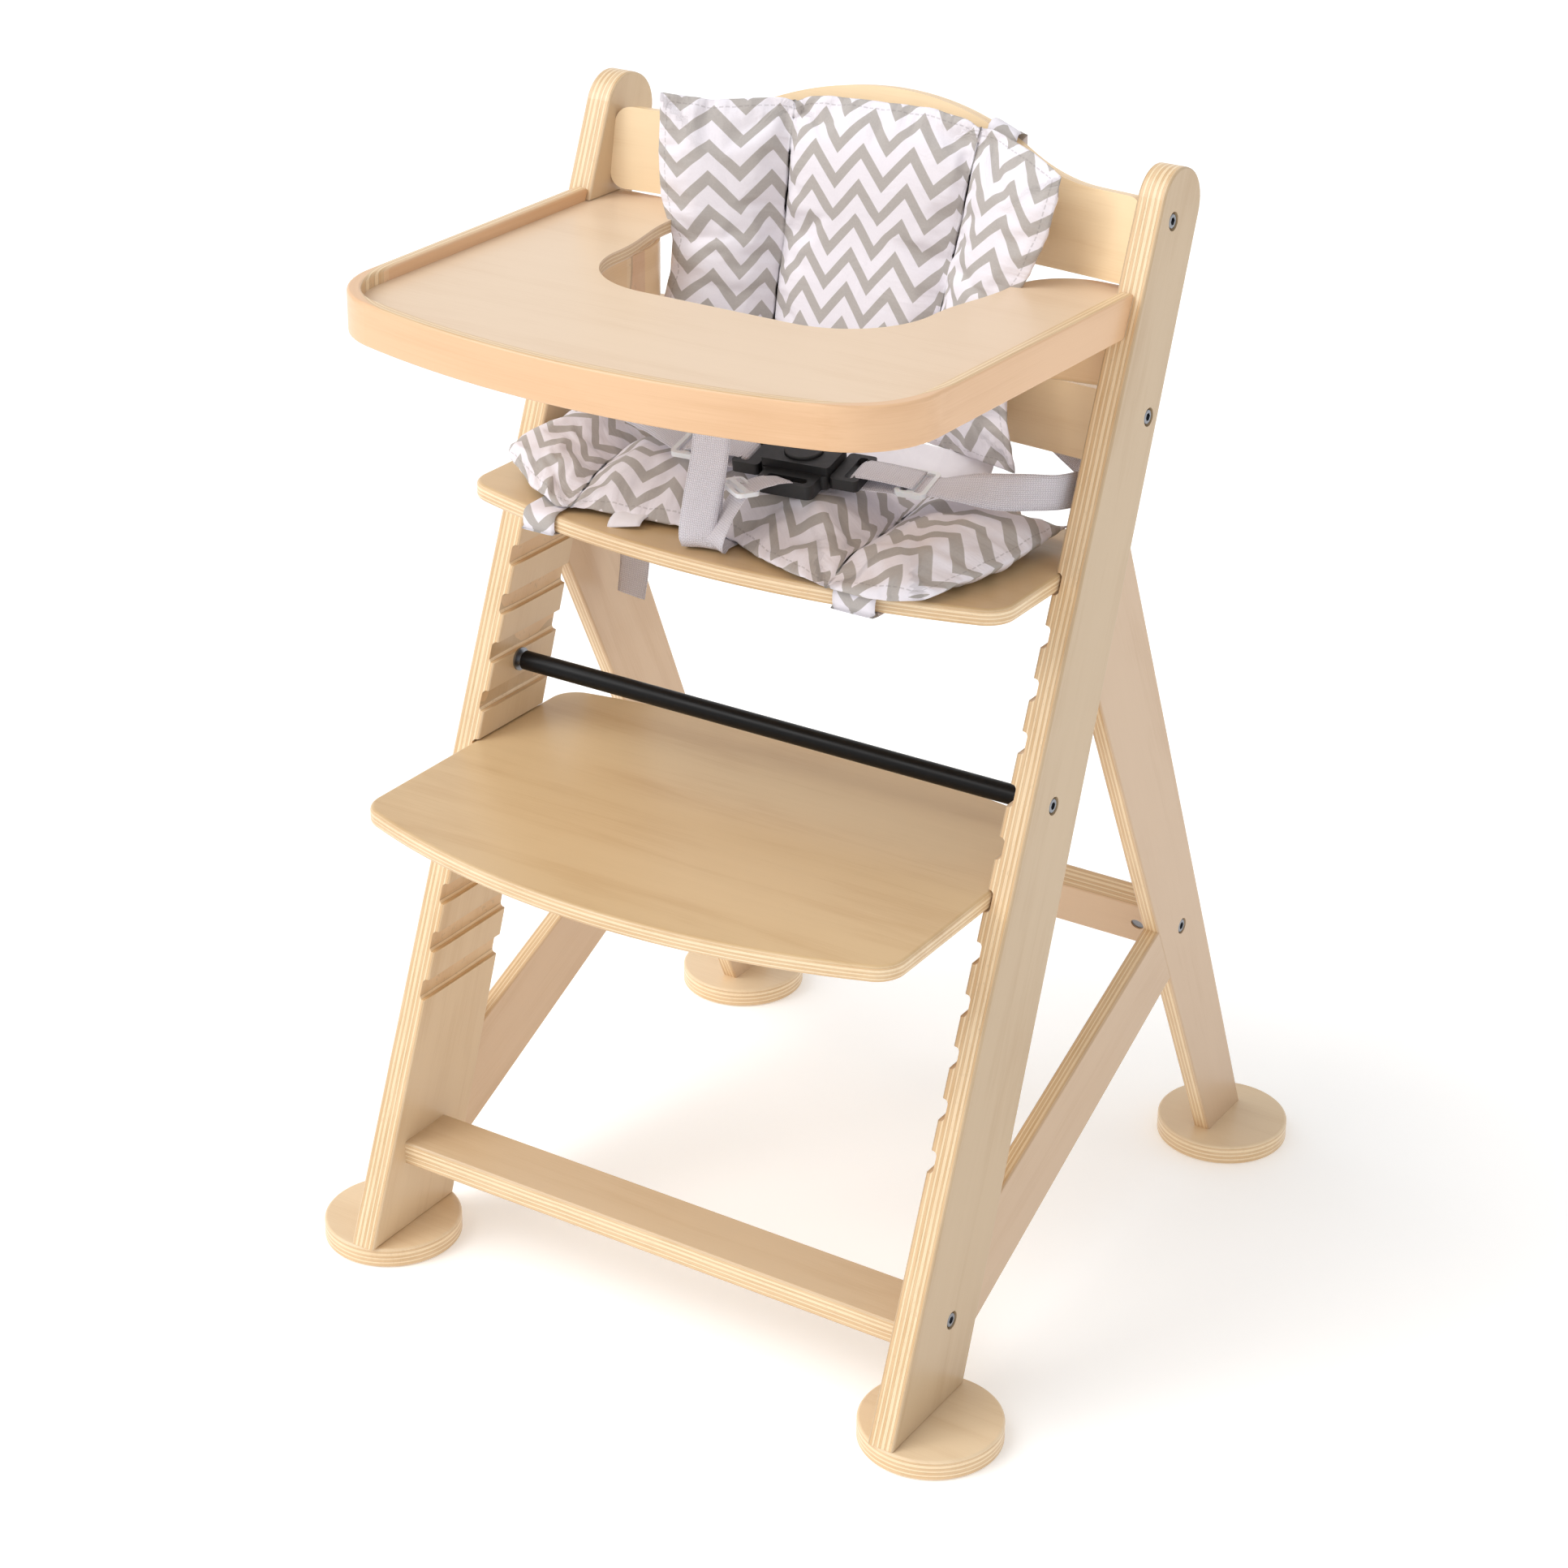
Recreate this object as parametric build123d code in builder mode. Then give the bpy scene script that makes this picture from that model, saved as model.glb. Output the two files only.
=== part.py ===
from build123d import *
from math import atan2, cos, radians, sin
import os

os.makedirs("parts", exist_ok=True)

# Baby high chair in birch plywood: two leaning grooved uprights, two rear legs, a sliding seat
# and foot plate, a tray with a bent rim and safety bow, a padded liner and a belt.
# Millimetres, +Z up, the child faces -Y, the origin is on the floor in the middle of the feet.

# ---- driving dimensions ----
INNER = 208.5                 # inner face of each upright
SIDE_T = 20.0                 # thickness of the uprights
OUTER = INNER + SIDE_T
LEG_X = 212.0                 # inner face of rear legs and braces
LEG_T = 13.0
LEG_MID = LEG_X + LEG_T / 2
DISC_R = 50.0
DISC_T = 15.0
DISCS = {"front_left": (-229, -211.5), "front_right": (229, -211.5),
         "rear_left": (-223, 247.5), "rear_right": (223, 247.5)}
TOP_FRONT_Z = 822.0           # sharp corners of the upright before rounding
TOP_BACK_Z = 801.0
GROOVE_PITCH = 33.0
SEAT_Z = 558.5                # middle of the seat plate and of the first groove
GROOVE_Z = [SEAT_Z - GROOVE_PITCH * n for n in range(12)]
FOOT_Z = GROOVE_Z[6]
GROOVE_D = 5.0
PLATE_T = 12.0
PLATE_HALF = 212.0
BOARD_Z = 722.0               # underside of the tray board
BOARD_T = 9.0
RIM_Z = 711.0
RIM_H = 29.0
RIM_T = 9.5
BOW_H = 50.0
BOW_T = 10.0
LEAN = 10.0                   # lean of both backrests, degrees
BACK_T = 12.0
UPPER_BOLT = (62.0, 780.1)    # (y, z) of the bolts in the outer faces
LOWER_BOLT = (40.6, 651.8)
TUBE_AXIS = (-70.5, 412.5)
FRONT_BAR = (-186.0, 76.5)
REAR_BAR = (148.3, 224.6)
TUBE_R = 7.0
BOLT_R = 3.0
HEAD_R = 5.0
HEAD_H = 6.0
BORE_R = 6.5                  # counterbore
BORE_D = 6.5
WEB_W = 25.0                  # webbing
WEB_T = 1.8


# ---- edges of the side frame, y as a function of z ----
def front_edge(z):
    return -266.2 + 0.394 * z


def back_edge(z):
    return -172.4 + 0.350 * z


def leg_back(z):
    return 280.3 - 0.442 * z


def leg_front(z):
    return 227.5 - 0.500 * z


def facing_x(y, z, x=OUTER):
    """Plane on an outer face, looking along +X."""
    return Plane(origin=(x, y, z), x_dir=(0, 1, 0), z_dir=(1, 0, 0))


def long_edges(part, least):
    """Long edges of the two big faces, for the rounding of a board."""
    faces = part.faces().filter_by(Axis.X)
    return [e for e in faces.edges() if e.length > least]


def write(name, builder):
    builder.part.label = name
    export_step(builder.part, "parts/" + name + ".step")


def write_mirrored(name, builder):
    with BuildPart() as other:
        mirror(builder.part, about=Plane.YZ)
    write(name, other)


# ---- dowels of the side frame ----
BUTT = Vector(0, 0.9439, -0.3304)         # square to the upright's back edge
BRACE = Vector(0, 0.9084, 0.4180)         # along the brace
LEG_DOWELS = [Vector(LEG_MID, back_edge(z), z) for z in (492, 532)]
BRACE_DOWELS = [Vector(LEG_MID, back_edge(z), z) for z in (72, 110)]
BRACE_DOWELS += [Vector(LEG_MID, leg_front(z), z) for z in (201, 222)]
DOWEL_R = 4.0
DOWEL_L = 36.0
leg_dowel_planes = [Plane(origin=p, z_dir=BUTT) for p in LEG_DOWELS]
brace_dowel_planes = [Plane(origin=p, z_dir=BRACE) for p in BRACE_DOWELS]
FRONT_SCREWS = [(OUTER - SIDE_T / 2, -211.5 - 22), (OUTER - SIDE_T / 2, -211.5 + 22)]
REAR_SCREWS = [(LEG_MID, 247.5 - 12), (LEG_MID, 247.5 + 12)]

# ---- uprights ----
upright_bolts = [UPPER_BOLT, LOWER_BOLT, TUBE_AXIS, FRONT_BAR]
with BuildPart() as upright_right:
    with BuildSketch(Plane.YZ.offset(INNER)) as outline:
        with BuildLine():
            Polyline((front_edge(DISC_T), DISC_T), (back_edge(DISC_T), DISC_T),
                     (back_edge(TOP_BACK_Z), TOP_BACK_Z), (front_edge(TOP_FRONT_Z), TOP_FRONT_Z),
                     close=True)
        make_face()
        fillet(outline.vertices().sort_by(Axis.Y)[-2:], 26)
    extrude(amount=SIDE_T)
    fillet(long_edges(upright_right, 20), 1.6)
    with BuildSketch(Plane.XZ) as grooves:
        with Locations(*[(INNER, z) for z in GROOVE_Z]):
            Polygon((-1, 7.4), (0, 7.2), (GROOVE_D, 6.8), (GROOVE_D, -6.8), (0, -7.2), (-1, -7.4),
                    align=None)
        fillet(grooves.vertices().group_by(Axis.X)[-1], 3)
        with Locations((INNER - 1, BOARD_Z - 0.5)):
            Rectangle(GROOVE_D + 1, BOARD_T + 1, align=(Align.MIN, Align.MIN))
    extrude(amount=300, both=True, mode=Mode.SUBTRACT)
    with Locations(*[facing_x(y, z) for y, z in upright_bolts]):
        CounterBoreHole(BOLT_R + 0.3, BORE_R, BORE_D)
    with Locations(*[Plane(origin=(x, y, DISC_T)) for x, y in FRONT_SCREWS]):
        Cylinder(2, 36, align=(Align.CENTER, Align.CENTER, Align.MIN), mode=Mode.SUBTRACT)
    with Locations(*(leg_dowel_planes + brace_dowel_planes[:2])):
        Cylinder(DOWEL_R, DOWEL_L, mode=Mode.SUBTRACT)
write("upright_right", upright_right)
write_mirrored("upright_left", upright_right)

# ---- rear legs ----
LEG_TOP_Z = (280.3 + 172.4) / (0.350 + 0.442)     # where the leg's edges meet the upright
LEG_LOW_Z = (227.5 + 172.4) / (0.350 + 0.500)
with BuildPart() as rear_leg_right:
    with BuildSketch(Plane.YZ.offset(LEG_X)):
        with BuildLine():
            Polyline((leg_front(DISC_T), DISC_T), (leg_back(DISC_T), DISC_T),
                     (back_edge(LEG_TOP_Z), LEG_TOP_Z), (back_edge(LEG_LOW_Z), LEG_LOW_Z), close=True)
        make_face()
    extrude(amount=LEG_T)
    fillet(long_edges(rear_leg_right, 300), 1.5)
    with Locations(facing_x(*REAR_BAR, x=LEG_X + LEG_T)):
        CounterBoreHole(BOLT_R + 0.3, 6.0, BORE_D)
    with Locations(*[Plane(origin=(x, y, DISC_T)) for x, y in REAR_SCREWS]):
        Cylinder(2, 36, align=(Align.CENTER, Align.CENTER, Align.MIN), mode=Mode.SUBTRACT)
    with Locations(*(leg_dowel_planes + brace_dowel_planes[2:])):
        Cylinder(DOWEL_R, DOWEL_L, mode=Mode.SUBTRACT)
write("rear_leg_right", rear_leg_right)
write_mirrored("rear_leg_left", rear_leg_right)

# ---- side braces ----
with BuildPart() as side_brace_right:
    with BuildSketch(Plane.YZ.offset(LEG_X)):
        with BuildLine():
            Polyline((back_edge(48), 48), (leg_front(188), 188), (leg_front(236), 236),
                     (back_edge(135), 135), close=True)
        make_face()
    extrude(amount=LEG_T)
    fillet(long_edges(side_brace_right, 200), 1.5)
    with Locations(*brace_dowel_planes):
        Cylinder(DOWEL_R, DOWEL_L, mode=Mode.SUBTRACT)
write("side_brace_right", side_brace_right)
write_mirrored("side_brace_left", side_brace_right)

# ---- dowels, both sides ----
with BuildPart() as leg_dowels:
    with Locations(*leg_dowel_planes):
        Cylinder(DOWEL_R, DOWEL_L)
    mirror(about=Plane.YZ)
write("leg_dowels", leg_dowels)

with BuildPart() as brace_dowels:
    with Locations(*brace_dowel_planes):
        Cylinder(DOWEL_R, DOWEL_L)
    mirror(about=Plane.YZ)
write("brace_dowels", brace_dowels)

# ---- foot discs and their screws ----
for corner, (cx, cy) in DISCS.items():
    side = 1 if cx > 0 else -1
    spots = FRONT_SCREWS if cy < 0 else REAR_SCREWS
    with BuildPart() as disc:
        with BuildSketch():
            with Locations((cx, cy)):
                Circle(DISC_R)
        extrude(amount=DISC_T)
        fillet(disc.edges().group_by(Axis.Z)[-1], 2.0)
        fillet(disc.edges().group_by(Axis.Z)[0], 1.2)
        with Locations(*[Plane(origin=(side * x, y, 0), z_dir=(0, 0, -1)) for x, y in spots]):
            CounterSinkHole(2.0, 4.4, counter_sink_angle=90)
    write("foot_disc_" + corner, disc)

with BuildPart() as foot_screws:
    for x, y in FRONT_SCREWS + REAR_SCREWS:
        with BuildSketch(Plane.XZ.offset(-y)):
            with BuildLine():
                Polyline((x, 0.6), (x + 3.7, 0.6), (x + 2.0, 2.4), (x + 2.0, 48), (x, 51), close=True)
            make_face()
        revolve(axis=Axis((x, y, 0), (0, 0, 1)))
    mirror(about=Plane.YZ)
write("foot_screws", foot_screws)

# ---- crossbars ----
NUT_X = 193.0
FRONT_BAR_Y = (-220.0, -173.5)
BAR_TILT = 24.8
with BuildPart() as front_crossbar:
    with BuildSketch(Plane.YZ.offset(-INNER)):
        with Locations((sum(FRONT_BAR_Y) / 2, FRONT_BAR[1])):
            Rectangle(FRONT_BAR_Y[1] - FRONT_BAR_Y[0], 18)
    extrude(amount=2 * INNER)
    fillet(front_crossbar.edges().filter_by(Axis.X), 1.5)
    for s in (1, -1):
        with Locations(Plane(origin=(s * INNER, *FRONT_BAR), z_dir=(s, 0, 0))):
            Hole(BOLT_R + 0.2, depth=28)
        with Locations(Plane(origin=(s * NUT_X, FRONT_BAR[0], FRONT_BAR[1] - 9), z_dir=(0, 0, -1))):
            Hole(5.0, depth=15)
write("front_crossbar", front_crossbar)

tilt = radians(BAR_TILT)
thick_dir = Vector(0, cos(tilt), sin(tilt))
rear_section = Plane(origin=(-LEG_X, *REAR_BAR), x_dir=thick_dir, z_dir=(1, 0, 0))
with BuildPart() as rear_crossbar:
    with BuildSketch(rear_section):
        Rectangle(20, 44)
    extrude(amount=2 * LEG_X)
    fillet(rear_crossbar.edges().filter_by(Axis.X), 1.5)
    for s in (1, -1):
        with Locations(Plane(origin=(s * LEG_X, *REAR_BAR), z_dir=(s, 0, 0))):
            Hole(BOLT_R + 0.2, depth=32)
        front = Vector(s * NUT_X, *REAR_BAR) - thick_dir * 10
        with Locations(Plane(origin=front, z_dir=-thick_dir)):
            Hole(5.0, depth=16)
write("rear_crossbar", rear_crossbar)

with BuildPart() as crossbar_barrel_nuts:
    for s in (1, -1):
        low = Vector(s * NUT_X, FRONT_BAR[0], FRONT_BAR[1] - 8)
        with Locations(Plane(origin=low, z_dir=(0, 0, 1))):
            Cylinder(5.0, 13.5, align=(Align.CENTER, Align.CENTER, Align.MIN))
        with Locations(Plane(origin=Vector(s * NUT_X, *REAR_BAR) - thick_dir * 9, z_dir=thick_dir)):
            Cylinder(5.0, 14.5, align=(Align.CENTER, Align.CENTER, Align.MIN))
        for y, z in (FRONT_BAR, REAR_BAR):
            with Locations(Plane(origin=(s * NUT_X, y, z), z_dir=(s, 0, 0))):
                Cylinder(BOLT_R, 12, mode=Mode.SUBTRACT)
write("crossbar_barrel_nuts", crossbar_barrel_nuts)


# ---- bolts: socket heads in the counterbores ----
def socket_bolts(name, spots, head_x, tip_x):
    """Bolts lying along X on both sides, the head's outer face at head_x."""
    with BuildPart() as bolts:
        for y, z in spots:
            with Locations(facing_x(y, z, head_x)):
                Cylinder(HEAD_R, HEAD_H, align=(Align.CENTER, Align.CENTER, Align.MAX))
            with Locations(facing_x(y, z, head_x - HEAD_H)):
                Cylinder(BOLT_R, head_x - HEAD_H - tip_x,
                         align=(Align.CENTER, Align.CENTER, Align.MAX))
        fillet(bolts.faces().filter_by(Axis.X).sort_by(Axis.X)[-len(spots):].edges(), 0.8)
        with BuildSketch(Plane.YZ.offset(head_x)):
            with Locations(*spots):
                RegularPolygon(2.5, 6, major_radius=False)
        extrude(amount=-3.4, mode=Mode.SUBTRACT)
        mirror(about=Plane.YZ)
    write(name, bolts)


HEAD_X = OUTER - BORE_D + HEAD_H
socket_bolts("backrest_bolts", [UPPER_BOLT, LOWER_BOLT], HEAD_X, 199)
socket_bolts("tube_bolts", [TUBE_AXIS], HEAD_X, 190)
socket_bolts("front_crossbar_bolts", [FRONT_BAR], HEAD_X, 186)
socket_bolts("rear_crossbar_bolts", [REAR_BAR], LEG_X + LEG_T - BORE_D + HEAD_H, 186)

with BuildPart() as backrest_insert_nuts:
    for y, z in (UPPER_BOLT, LOWER_BOLT):
        with Locations(facing_x(y, z, INNER - 1)):
            Cylinder(4.2, 9, align=(Align.CENTER, Align.CENTER, Align.MAX))
            Cylinder(BOLT_R, 9, align=(Align.CENTER, Align.CENTER, Align.MAX), mode=Mode.SUBTRACT)
    mirror(about=Plane.YZ)
write("backrest_insert_nuts", backrest_insert_nuts)

# ---- tension tube with stepped ends ----
TUBE_END = 204.0
WASHER_T = 1.5
with BuildPart() as tension_tube:
    with BuildSketch(Plane(origin=(-TUBE_END, *TUBE_AXIS), x_dir=(0, 1, 0), z_dir=(1, 0, 0))):
        Circle(TUBE_R)
        Circle(5.0, mode=Mode.SUBTRACT)
    extrude(amount=2 * TUBE_END)
    chamfer(tension_tube.edges().filter_by(GeomType.CIRCLE).group_by(SortBy.RADIUS)[-1], 0.5)
write("tension_tube", tension_tube)

with BuildPart() as tube_end_inserts:
    with Locations(facing_x(*TUBE_AXIS, x=INNER - WASHER_T)):
        Cylinder(5.0, 24, align=(Align.CENTER, Align.CENTER, Align.MAX))
        Cylinder(BOLT_R, 24, align=(Align.CENTER, Align.CENTER, Align.MAX), mode=Mode.SUBTRACT)
    mirror(about=Plane.YZ)
write("tube_end_inserts", tube_end_inserts)

with BuildPart() as tube_washers:
    with Locations(facing_x(*TUBE_AXIS, x=INNER)):
        Cylinder(8.5, WASHER_T, align=(Align.CENTER, Align.CENTER, Align.MAX))
        Cylinder(3.2, WASHER_T, align=(Align.CENTER, Align.CENTER, Align.MAX), mode=Mode.SUBTRACT)
    mirror(about=Plane.YZ)
write("tube_washers", tube_washers)

# ---- backrests: bent boards that lean back ----
up_dir = Vector(0, sin(radians(LEAN)), cos(radians(LEAN)))
back_dir = Vector(0, cos(radians(LEAN)), -sin(radians(LEAN)))


def leaning(y, z, toward):
    """Plan plane (z_dir up the lean) or elevation plane (z_dir toward the child)."""
    if toward == "up":
        return Plane(origin=(0, y, z), x_dir=(1, 0, 0), z_dir=up_dir)
    return Plane(origin=(0, y, z), x_dir=(1, 0, 0), z_dir=-back_dir)


def bent_band(half, sag, thick, front=None):
    """Plan of a bent board, its ends on y = 0 and its middle sag further back."""
    shift = -thick / 2 if front is None else front
    ThreePointArc((-half, shift), (0, shift + sag), (half, shift))
    Line((half, shift), (half, shift + thick))
    ThreePointArc((half, shift + thick), (0, shift + thick + sag), (-half, shift + thick))
    Line((-half, shift + thick), (-half, shift))


CREST_X = 168.0               # where the arched top edge runs out
CREST_R = 235.0
CREST_TOP, END_TOP = 53.0, 12.0
crest = 2 * atan2(CREST_TOP - END_TOP, CREST_X)
HOLLOW_R = CREST_X / sin(crest) - CREST_R
with BuildPart() as upper_backrest:
    with BuildSketch(leaning(*UPPER_BOLT, "up")):
        with BuildLine():
            bent_band(INNER, 29, BACK_T, front=-BACK_T / 2 - 2)
        make_face()
    extrude(amount=90, both=True)
    with BuildSketch(leaning(*UPPER_BOLT, "child")) as outline:
        with BuildLine():
            top = [(INNER, END_TOP), (CREST_X, END_TOP)]
            Polyline((-CREST_X, END_TOP), (-INNER, END_TOP), (-INNER, -46), (INNER, -46), *top)
            for s in (1, -1):
                ThreePointArc((s * CREST_X, END_TOP),
                              (s * (CREST_X - HOLLOW_R * sin(crest / 2)),
                               END_TOP + HOLLOW_R * (1 - cos(crest / 2))),
                              (s * CREST_R * sin(crest), CREST_TOP - CREST_R * (1 - cos(crest))))
            ThreePointArc((-CREST_R * sin(crest), CREST_TOP - CREST_R * (1 - cos(crest))), (0, CREST_TOP),
                          (CREST_R * sin(crest), CREST_TOP - CREST_R * (1 - cos(crest))))
        make_face()
        corners = [v for v in outline.vertices() if abs(abs(v.X) - INNER) < 0.1]
        fillet(corners, 11)
    extrude(amount=90, both=True, mode=Mode.INTERSECT)
    for s in (1, -1):
        with Locations(Plane(origin=(s * INNER, *UPPER_BOLT), z_dir=(s, 0, 0))):
            Hole(4.2, depth=10.5)
write("upper_backrest", upper_backrest)

with BuildPart() as lower_backrest:
    with BuildSketch(leaning(*LOWER_BOLT, "up")):
        with BuildLine():
            bent_band(INNER, 17.5, BACK_T)
        make_face()
    extrude(amount=60, both=True)
    with BuildSketch(leaning(*LOWER_BOLT, "child")) as outline:
        with Locations((0, -12.5)):
            RectangleRounded(2 * INNER, 49, 7)
    extrude(amount=90, both=True, mode=Mode.INTERSECT)
    for s in (1, -1):
        with Locations(Plane(origin=(s * INNER, *LOWER_BOLT), z_dir=(s, 0, 0))):
            Hole(4.2, depth=10.5)
write("lower_backrest", lower_backrest)


# ---- seat plate and foot plate ----
def sliding_plate(name, mid_z, front_y, side_front, side_back, back_y):
    """A board with an arched front and rounded corners that slides in the grooves."""
    with BuildPart() as plate:
        with BuildSketch(Plane.XY.offset(mid_z - PLATE_T / 2)) as outline:
            with BuildLine():
                ThreePointArc((-PLATE_HALF, side_front), (0, front_y), (PLATE_HALF, side_front))
                Line((PLATE_HALF, side_front), (PLATE_HALF, side_back))
                ThreePointArc((PLATE_HALF, side_back), (0, back_y), (-PLATE_HALF, side_back))
                Line((-PLATE_HALF, side_back), (-PLATE_HALF, side_front))
            make_face()
            fillet(outline.vertices(), 22)
        extrude(amount=PLATE_T)
        fillet(plate.edges().group_by(Axis.Z)[-1], 3)
        fillet(plate.edges().group_by(Axis.Z)[0], 3)
    write(name, plate)


sliding_plate("seat_plate", SEAT_Z, -154.5, -119.0, 28.0, 43.0)
sliding_plate("foot_plate", FOOT_Z, -287.5, -246.0, -12.0, 10.5)

# ---- tray: board, bent rim, safety bow ----
RIM_REAR_Y = 80.0


def rim_outline():
    """Outer outline of the tray rim, closed behind the chair."""
    ThreePointArc((-215.1, -258.4), (0, -297.5), (215.1, -258.4))
    Line((215.1, -258.4), (222.3, RIM_REAR_Y))
    Line((222.3, RIM_REAR_Y), (-222.3, RIM_REAR_Y))
    Line((-222.3, RIM_REAR_Y), (-215.1, -258.4))


with BuildPart() as tray_rim:
    with BuildSketch(Plane.XY.offset(RIM_Z)) as ring:
        with BuildLine():
            rim_outline()
        make_face()
        fillet(ring.vertices().sort_by(Axis.Y)[:2], 62)
        offset(amount=-RIM_T, mode=Mode.SUBTRACT)
        with Locations((0, RIM_REAR_Y)):
            Rectangle(404, 60)
            Rectangle(600, 40, mode=Mode.SUBTRACT)
            Rectangle(404, 60, mode=Mode.SUBTRACT)
    extrude(amount=RIM_H)
    with BuildSketch(Plane.YZ) as rear_cut:
        with BuildLine():
            Polyline((front_edge(700) - 0.5, 700), (front_edge(750) - 0.5, 750), (200, 750),
                     (200, 700), close=True)
        make_face()
    extrude(amount=260, both=True, mode=Mode.SUBTRACT)
    fillet(tray_rim.edges().filter_by_position(Axis.Z, RIM_Z + RIM_H - 0.1, RIM_Z + RIM_H + 0.1), 2.2)
    fillet(tray_rim.edges().filter_by_position(Axis.Z, RIM_Z - 0.1, RIM_Z + 0.1), 1.6)
write("tray_rim", tray_rim)

# safety bow: inner face on the cut-out, arms turning outward behind it
TURN_R = 60.0
turn_from = (125.0, -30.0)
turn_mid = (turn_from[0] + TURN_R - TURN_R * cos(radians(40)), turn_from[1] + TURN_R * sin(radians(40)))
turn_end = (turn_from[0] + TURN_R - TURN_R * cos(radians(80)), turn_from[1] + TURN_R * sin(radians(80)))
arm_end = (206.0, turn_end[1] + (206.0 - turn_end[0]) * 0.176)


def bow_side(s, d):
    """Half of one face of the bow, d outside its inner face."""
    r = 65.0 + d
    Line((0, -130.5 - d), (s * 58, -130.5 - d))
    a = radians(45)
    ThreePointArc((s * 58, -130.5 - d), (s * (58 + r * sin(a)), -65.5 - r * cos(a)),
                  (s * (123 + d), -65.5))
    Line((s * (123 + d), -65.5), (s * (turn_from[0] + d), turn_from[1]))
    cx = turn_from[0] + TURN_R
    q = TURN_R - d
    ThreePointArc((s * (turn_from[0] + d), turn_from[1]),
                  (s * (cx - q * cos(radians(40))), turn_from[1] + q * sin(radians(40))),
                  (s * (cx - q * cos(radians(80))), turn_from[1] + q * sin(radians(80))))
    Line((s * (cx - q * cos(radians(80))), turn_from[1] + q * sin(radians(80))),
         (s * (arm_end[0] + 0.17 * d), arm_end[1] - 0.985 * d))


with BuildPart() as safety_bow:
    with BuildSketch(Plane.XY.offset(BOARD_Z - BOW_H)):
        with BuildLine():
            for s in (1, -1):
                bow_side(s, 0)
                bow_side(s, BOW_T)
                Line((s * arm_end[0], arm_end[1]),
                     (s * (arm_end[0] + 0.17 * BOW_T), arm_end[1] - 0.985 * BOW_T))
        make_face()
    extrude(amount=BOW_H)
    fillet(safety_bow.edges().filter_by_position(Axis.Z, BOARD_Z - BOW_H - 0.1, BOARD_Z - BOW_H + 0.1), 3.5)
    dowel_spots = []
    for s in (1, -1):
        dowel_spots += [(s * 34, -135.5), (s * 129, -50), (s * 143.2, 5.6)]
    with Locations(*[(x, y, BOARD_Z - 15) for x, y in dowel_spots]):
        Cylinder(3, 16, align=(Align.CENTER, Align.CENTER, Align.MIN), mode=Mode.SUBTRACT)
write("safety_bow", safety_bow)

with BuildPart() as bow_dowels:
    with Locations(*[(x, y, BOARD_Z - 15) for x, y in dowel_spots]):
        Cylinder(3, 21, align=(Align.CENTER, Align.CENTER, Align.MIN))
write("bow_dowels", bow_dowels)

with BuildPart() as tray_board:
    with BuildSketch(Plane.XY.offset(BOARD_Z)) as board:
        with BuildLine():
            rim_outline()
        make_face()
        fillet(board.vertices().sort_by(Axis.Y)[:2], 62)
        offset(amount=-RIM_T, mode=Mode.REPLACE)
        with Locations((0, 60.5)):
            Rectangle(600, 60, align=(Align.CENTER, Align.MIN), mode=Mode.SUBTRACT)
        with BuildLine():
            a = radians(45)
            Polyline((-180, 60.5), (-180, 70), (180, 70), (180, 60.5))
            for s in (1, -1):
                ThreePointArc((s * 180, 60.5), (s * (180 - 45 * cos(a)), 15.5 + 45 * sin(a)),
                              (s * 135, 15.5))
                Spline((s * 135, 15.5), (s * 123, -65.5), tangents=((0, -1), (0, -1)))
                ThreePointArc((s * 123, -65.5), (s * (58 + 65 * sin(a)), -65.5 - 65 * cos(a)),
                              (s * 58, -130.5))
            Line((-58, -130.5), (58, -130.5))
        make_face(mode=Mode.SUBTRACT)
    extrude(amount=BOARD_T)
    with Locations(*[(x, y, BOARD_Z) for x, y in dowel_spots]):
        Cylinder(3, 6, align=(Align.CENTER, Align.CENTER, Align.MIN), mode=Mode.SUBTRACT)
write("tray_board", tray_board)

# ---- cushions: plain closed solids ----
CUSHION_Z = 567.0
with BuildPart() as seat_cushion:
    with BuildSketch(Plane.XY.offset(CUSHION_Z)) as outline:
        with BuildLine():
            Polyline((-194, -102), (-125, -128), (-40, -121), (12, -121), (44, -138), (104, -152),
                     (152, -144), (178, -120), (186, -60), (186, 6), (-199, 6), (-202, -50), close=True)
        make_face()
        fillet(outline.vertices(), 10)
    extrude(amount=29)
    fillet(seat_cushion.edges().group_by(Axis.Z)[-1], 9)
    fillet(seat_cushion.edges().group_by(Axis.Z)[0], 7)
write("seat_cushion", seat_cushion)

PAD_ORIGIN = (49.5, 640.0)
with BuildPart() as back_cushion:
    with BuildSketch(leaning(*PAD_ORIGIN, "up")):
        with BuildLine():
            bent_band(160, 30, 22, front=-52)
        make_face()
    extrude(amount=220, both=True)
    with BuildSketch(leaning(*PAD_ORIGIN, "child")) as outline:
        with BuildLine():
            Polyline((-131, -38), (131, -38), (131, 102), (150, 128), (153, 166), (96, 190),
                     (-60, 190), (-150, 172), (-150, 128), (-131, 102), close=True)
        make_face()
        fillet(outline.vertices(), 12)
    extrude(amount=90, both=True, mode=Mode.INTERSECT)
write("back_cushion", back_cushion)


# ---- fabric loops, bridge and label ----
def seat_loop(name, x0, x1):
    """Fabric loop closed round the seat plate."""
    near = min(abs(x0), abs(x1))
    front = -154.5 + 35.5 * (near / PLATE_HALF) ** 2 - 0.6
    with BuildPart() as loop:
        with BuildSketch(Plane.YZ.offset(x0)):
            with Locations(((front + 44) / 2, SEAT_Z)):
                RectangleRounded(44 - front + 1.6, PLATE_T + 3.0, 4.0)
                RectangleRounded(44 - front, PLATE_T + 1.0, 3.2, mode=Mode.SUBTRACT)
        extrude(amount=x1 - x0)
    write(name, loop)


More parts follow.
